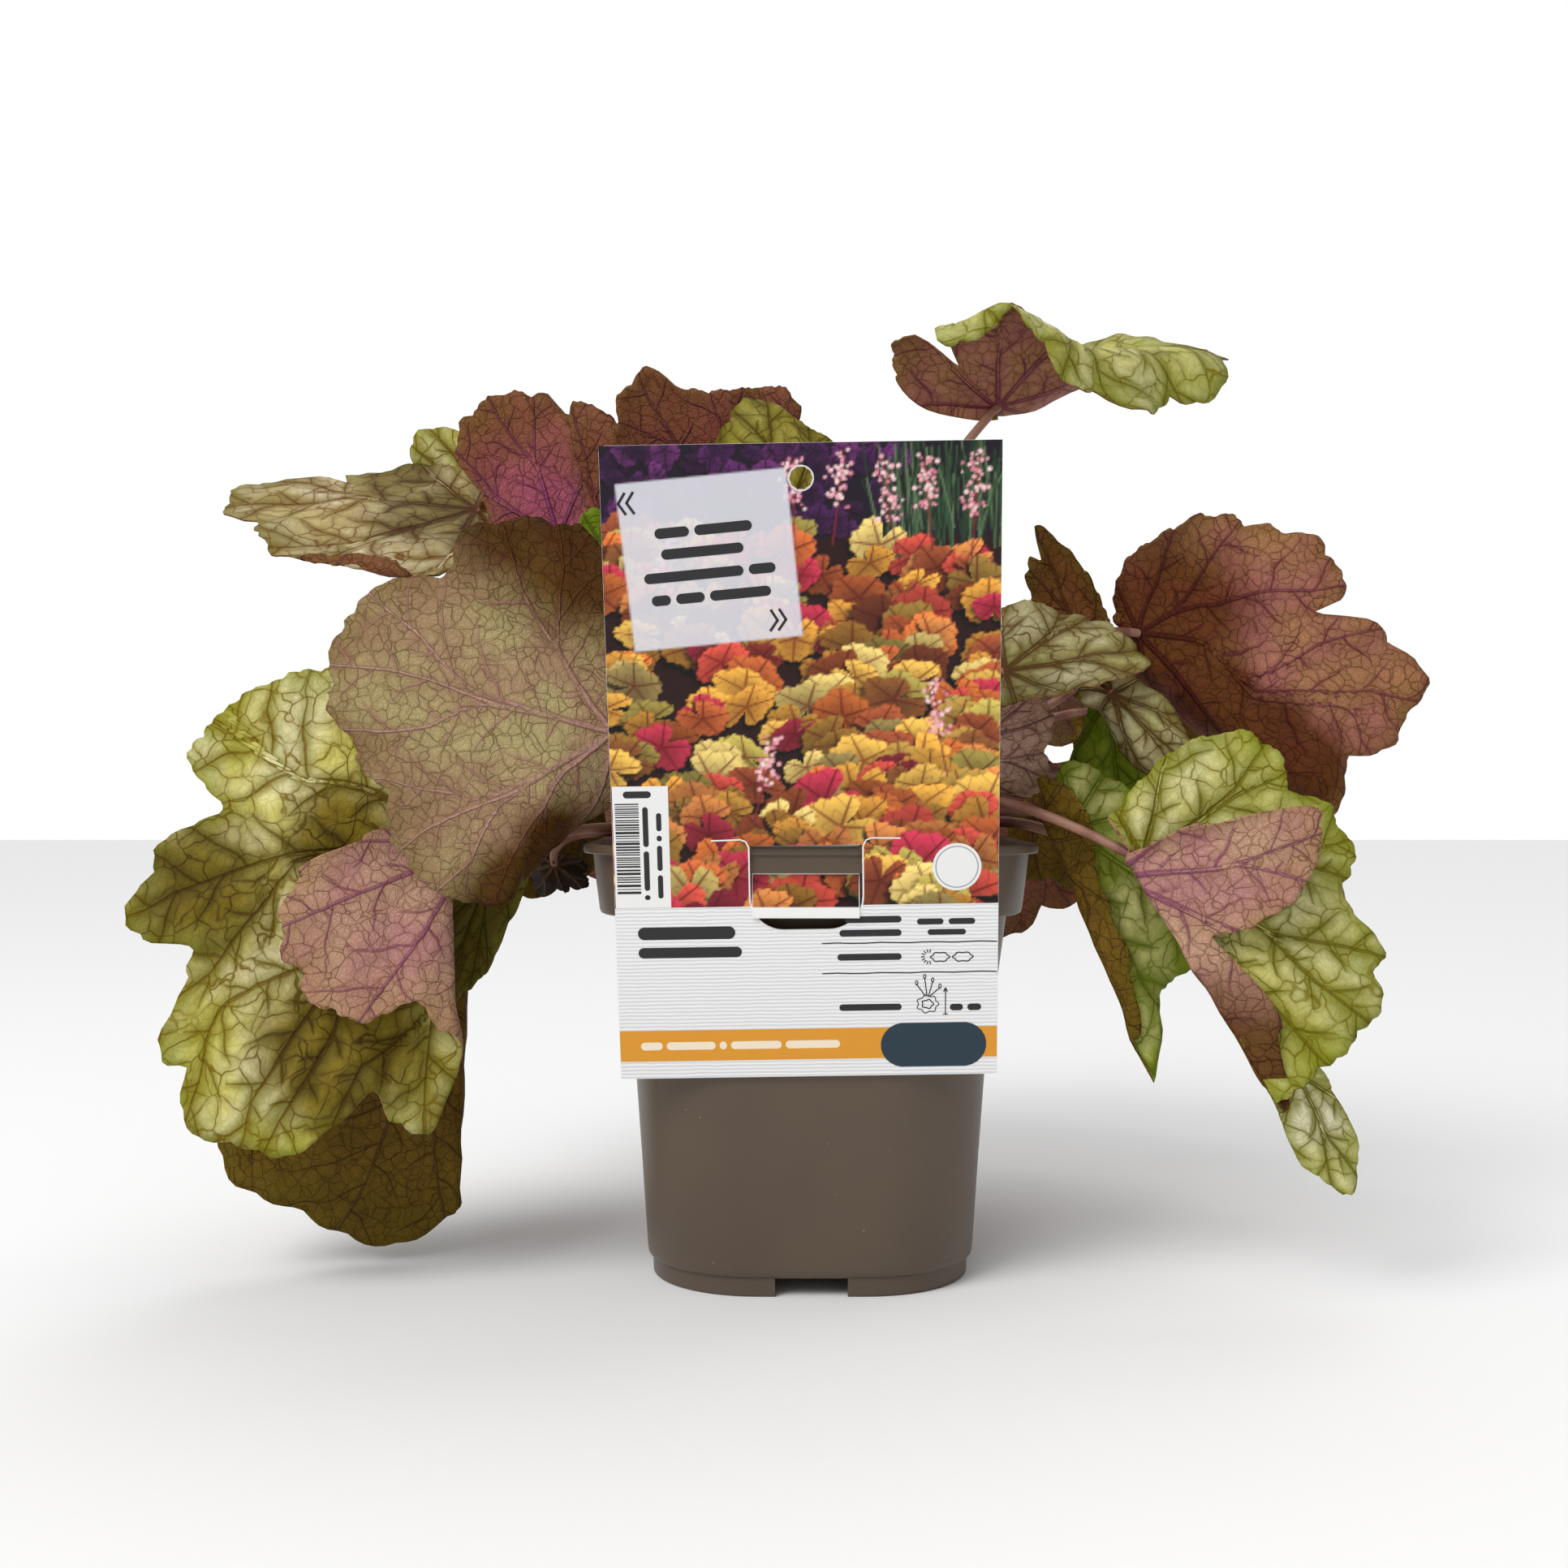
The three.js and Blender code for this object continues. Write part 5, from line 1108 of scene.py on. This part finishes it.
def pill(u, v, long, high, tone=INK, turn=0.0, lift=0.08):
    """A bar with round ends, by its middle."""
    r = min(long, high) / 2
    c, s = math.cos(turn), math.sin(turn)
    points = []
    for k in range(24):
        t = math.radians(15 * k + 7.5)
        x = math.copysign(long / 2 - r, math.cos(t)) + r * math.cos(t)
        y = math.copysign(high / 2 - r, math.sin(t)) + r * math.sin(t)
        points.append((u + x * c - y * s, v + x * s + y * c))
    polygon(points, tone, lift)


def stroke(points, wide, tone=INK, lift=0.08, closed=False):
    points = list(points) + (list(points[:1]) if closed else [])
    for (u0, v0), (u1, v1) in zip(points, points[1:]):
        length = math.hypot(u1 - u0, v1 - v0) or 1
        du, dv = (u1 - u0) / length * wide / 2, (v1 - v0) / length * wide / 2
        eu, ev = du / 2, dv / 2
        polygon([(u0 + dv - eu, v0 - du - ev), (u1 + dv + eu, v1 - du + ev),
                 (u1 - dv + eu, v1 + du + ev), (u0 - dv - eu, v0 + du - ev)], tone, lift)


def ring(u, v, wide, high, count=28, bumps=0, depth=0.0):
    points = []
    for k in range(count):
        t = 2 * math.pi * k / count
        r = 1 + depth * math.cos(bumps * t)
        points.append((u + wide * r * math.cos(t), v + high * r * math.sin(t)))
    return points


def loop(u, v, wide, high, count, bumps, depth, line):
    stroke(ring(u, v, wide, high, count, bumps, depth), line, INK, 0.08, True)


def bars(u, v, high, lengths, tone=INK, turn=0.0, gap=1.4):
    """A row of bars where a line of words would be."""
    for length in lengths:
        c, s = math.cos(turn), math.sin(turn)
        pill(u + length / 2 * c, v + length / 2 * s, length, high, tone, turn)
        u, v = u + (length + gap) * c, v + (length + gap) * s


tilt = math.radians(4.6)
for u, v, lengths in ((-38.2, 85.3, (9, 15)), (-36.6, 79.9, (21.5,)), (-41.2, 73.6, (26, 7)),
                      (-39.4, 67.8, (5, 7.5, 16))):
    bars(u, v, 2.7, lengths, INK, tilt)
for u, v, way in ((-47.4, 93.2, 1), (-45.2, 93.4, 1), (-4.4, 62.6, -1), (-6.6, 62.4, -1)):
    stroke([(u + 1.7 * way, v + 2.7), (u, v), (u + 1.9 * way, v - 2.7)], 0.7)

# upright white panel with its stripes, and the round badge
block(-51.7, -15.2, -36.7, 18.5, CARD_TONE)
bars(-48.8, 16.2, 1.9, (7.5,))
v = 13.8
while v > -11.4:
    thick = draw.choice((0.25, 0.35, 0.5, 0.7))
    block(-51.1, v - thick, -44.7, v, INK, 0.08)
    v -= thick + draw.choice((0.25, 0.35, 0.5))
bars(-43.0, -13.0, 1.5, (1.4, 11, 11), INK, math.pi / 2, 1.2)
bars(-39.4, -12.6, 1.4, (6.5, 7, 1.6, 5), INK, math.pi / 2, 1.2)
polygon(ring(40.7, -5.0, 6.6, 6.6, 40), CARD_TONE)
stroke(ring(40.7, -5.0, 5.7, 5.7, 40), 0.25, colour(150, 150, 156), 0.08, True)

# care notes: bars, rules, sun and cloud, plant and its height
for u, v, high, lengths in ((-46.0, -22.5, 3.6, (26.5,)), (-46.0, -28.0, 3.0, (28.2,)),
                            (10.3, -19.4, 1.9, (15.4,)), (8.8, -23.2, 1.9, (16.9,)),
                            (8.2, -30.0, 1.9, (17.5,)), (8.6, -44.4, 1.9, (17.1,)),
                            (29.9, -20.2, 1.7, (7.2, 7.2)), (32.8, -23.2, 1.6, (10.4,))):
    bars(u, v, high, lengths)
bars(38.9, -44.7, 1.9, (3.6, 3.8), INK, 0, 1.2)
for v in (-26.0, -34.6):
    stroke([(4.1 + 47.5 * k / 12, v + 0.12 * math.sin(k * 1.9)) for k in range(13)], 0.32)
loop(36.2, -30.3, 2.4, 1.3, 48, 6, 0.1, 0.3)
loop(42.4, -30.3, 2.6, 1.3, 48, 6, 0.1, 0.3)
for k in range(9):
    t = math.radians(80 + 25 * k)
    stroke([(33.2 + r * math.cos(t), -30.2 + r * math.sin(t)) for r in (1.3, 2.1)], 0.3)
loop(32.8, -43.7, 2.8, 2.4, 40, 7, 0.12, 0.25)
loop(32.8, -43.7, 1.5, 1.2, 24, 5, 0.15, 0.3)
for lean, top in ((-3.0, 5.0), (-0.8, 6.8), (1.4, 5.8), (3.4, 4.0)):
    stroke([(32.8 + lean * 0.2, -41.4), (32.8 + lean, -43.0 + top)], 0.3)
    loop(32.8 + lean, -42.6 + top, 0.35, 0.6, 10, 0, 0.0, 0.25)
stroke([(37.7, -46.6), (37.7, -39.2)], 0.3)
stroke([(37.2, -40.2), (37.7, -39.1), (38.2, -40.2)], 0.3)
stroke([(37.1, -46.7), (38.3, -46.7)], 0.3)

# band along the foot, and the white lines round the openings
block(-51.9, -59.2, 51.9, -50.3, colour(220, 150, 46))
bars(-46.2, -54.8, 2.3, (6, 13.5, 2, 14, 15), colour(240, 226, 200), 0, 1.1)
pill(34.45, -55.4, 29.1, 12.8, colour(40, 58, 70), 0.0, 0.11)
edge_line = [(-25.4, 3.2), (-17.6, 3.4), (-16.2, 2.8), (-15.4, 1.2), (-15.4, -12.8)]
for degrees in range(190, 271, 10):
    t, reach = math.radians(degrees), WINDOW_CORNER + 0.3
    u, v = WINDOW_CORNER - WINDOW_HALF + reach * math.cos(t), WINDOW_BEND + reach * math.sin(t)
    edge_line.append((u, v))
edge_line += [(-u, v) for u, v in reversed(edge_line)]
stroke(edge_line, 0.4, CARD_TONE, 0.05)
stroke(ring(0, HOLE_HEIGHT, 3.2, 3.2, 40), 0.35, CARD_TONE, 0.05, True)

points, faces, tones = [], [], []
for shape, tone, lift in shapes:
    order = range(len(points), len(points) + len(shape))
    points += [card_point(u, v, lift) for u, v in shape]
    area = sum(u0 * v1 - u1 * v0 for (u0, v0), (u1, v1) in zip(shape[-1:] + shape, shape))
    faces.append(tuple(order if area > 0 else reversed(order)))
    tones += [tone[:3]] * len(shape)
marks = mesh_object("label_marks", points, faces)
set_tone(marks, np.array(tones))
finish_print(marks, print_mat)

card_mat, skin, w = material("card_plastic", 0.4)
haze = w.noise(w.place(), 30.0, 3.0)
w.feed(skin.inputs["Base Color"], w.mix(w.fade(haze, 0.3, 0.7), colour(230, 230, 227), colour(237, 237, 236)))
w.feed(skin.inputs["Roughness"], w.fade(haze, 0.3, 0.7, 0.36, 0.46))
w.relief(skin, 0.15, 0.0001, w.noise(w.place(), 700.0))
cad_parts["label"].data.materials.clear()
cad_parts["label"].data.materials.append(card_mat)

# ---------------------------------------------------------------- camera, light, floor

cam = bpy.data.cameras.new("camera")
cam.lens = 40.8
cam.sensor_width = 36
camera = bpy.data.objects.new("camera", cam)
camera.location = (-4.7 * MM, -571 * MM, 144 * MM)
camera.rotation_euler = (math.radians(90), 0, 0)
scene.collection.objects.link(camera)
scene.camera = camera

bpy.ops.mesh.primitive_plane_add(size=8, location=(0, 0, 0))
floor = bpy.context.object
floor.name = "floor"
floor_mat, _, _ = material("floor", 0.9, (0.9, 0.9, 0.9, 1))
floor.data.materials.append(floor_mat)

world = bpy.data.worlds.new("world")
world.use_nodes = True
w = Wires(world.node_tree)
backdrop = w.add("ShaderNodeBackground", {"Color": (1, 1, 1, 1), "Strength": 1.0})
sky = world.node_tree.nodes["Background"]
sky.inputs["Color"].default_value = (1, 1, 1, 1)
sky.inputs["Strength"].default_value = 0.45
seen = w.add("ShaderNodeLightPath", out="Is Camera Ray")
w.feed(world.node_tree.nodes["World Output"].inputs["Surface"],
       w.add("ShaderNodeMixShader", {0: seen, 1: sky.outputs[0], 2: backdrop}))
scene.world = world


def lamp(kind, x, y, z, power, aim):
    """A lamp that shines at a point; returns its settings."""
    bpy.ops.object.light_add(type=kind, location=(x, y, z))
    obj = bpy.context.object
    obj.data.energy = power
    obj.rotation_euler = (Vector(aim) - obj.location).to_track_quat("-Z", "Y").to_euler()
    return obj.data


lamp("AREA", -0.8, -1.0, 1.2, 9, (0, 0, 0.12)).size = 0.7
lamp("SUN", -0.6, -0.9, 1.1, 1.0, (0, 0, 0)).angle = math.radians(40)
lamp("SUN", 0.5, 0.7, 1.3, 0.9, (0, 0, 0)).angle = math.radians(50)
scene.view_settings.view_transform = "Standard"
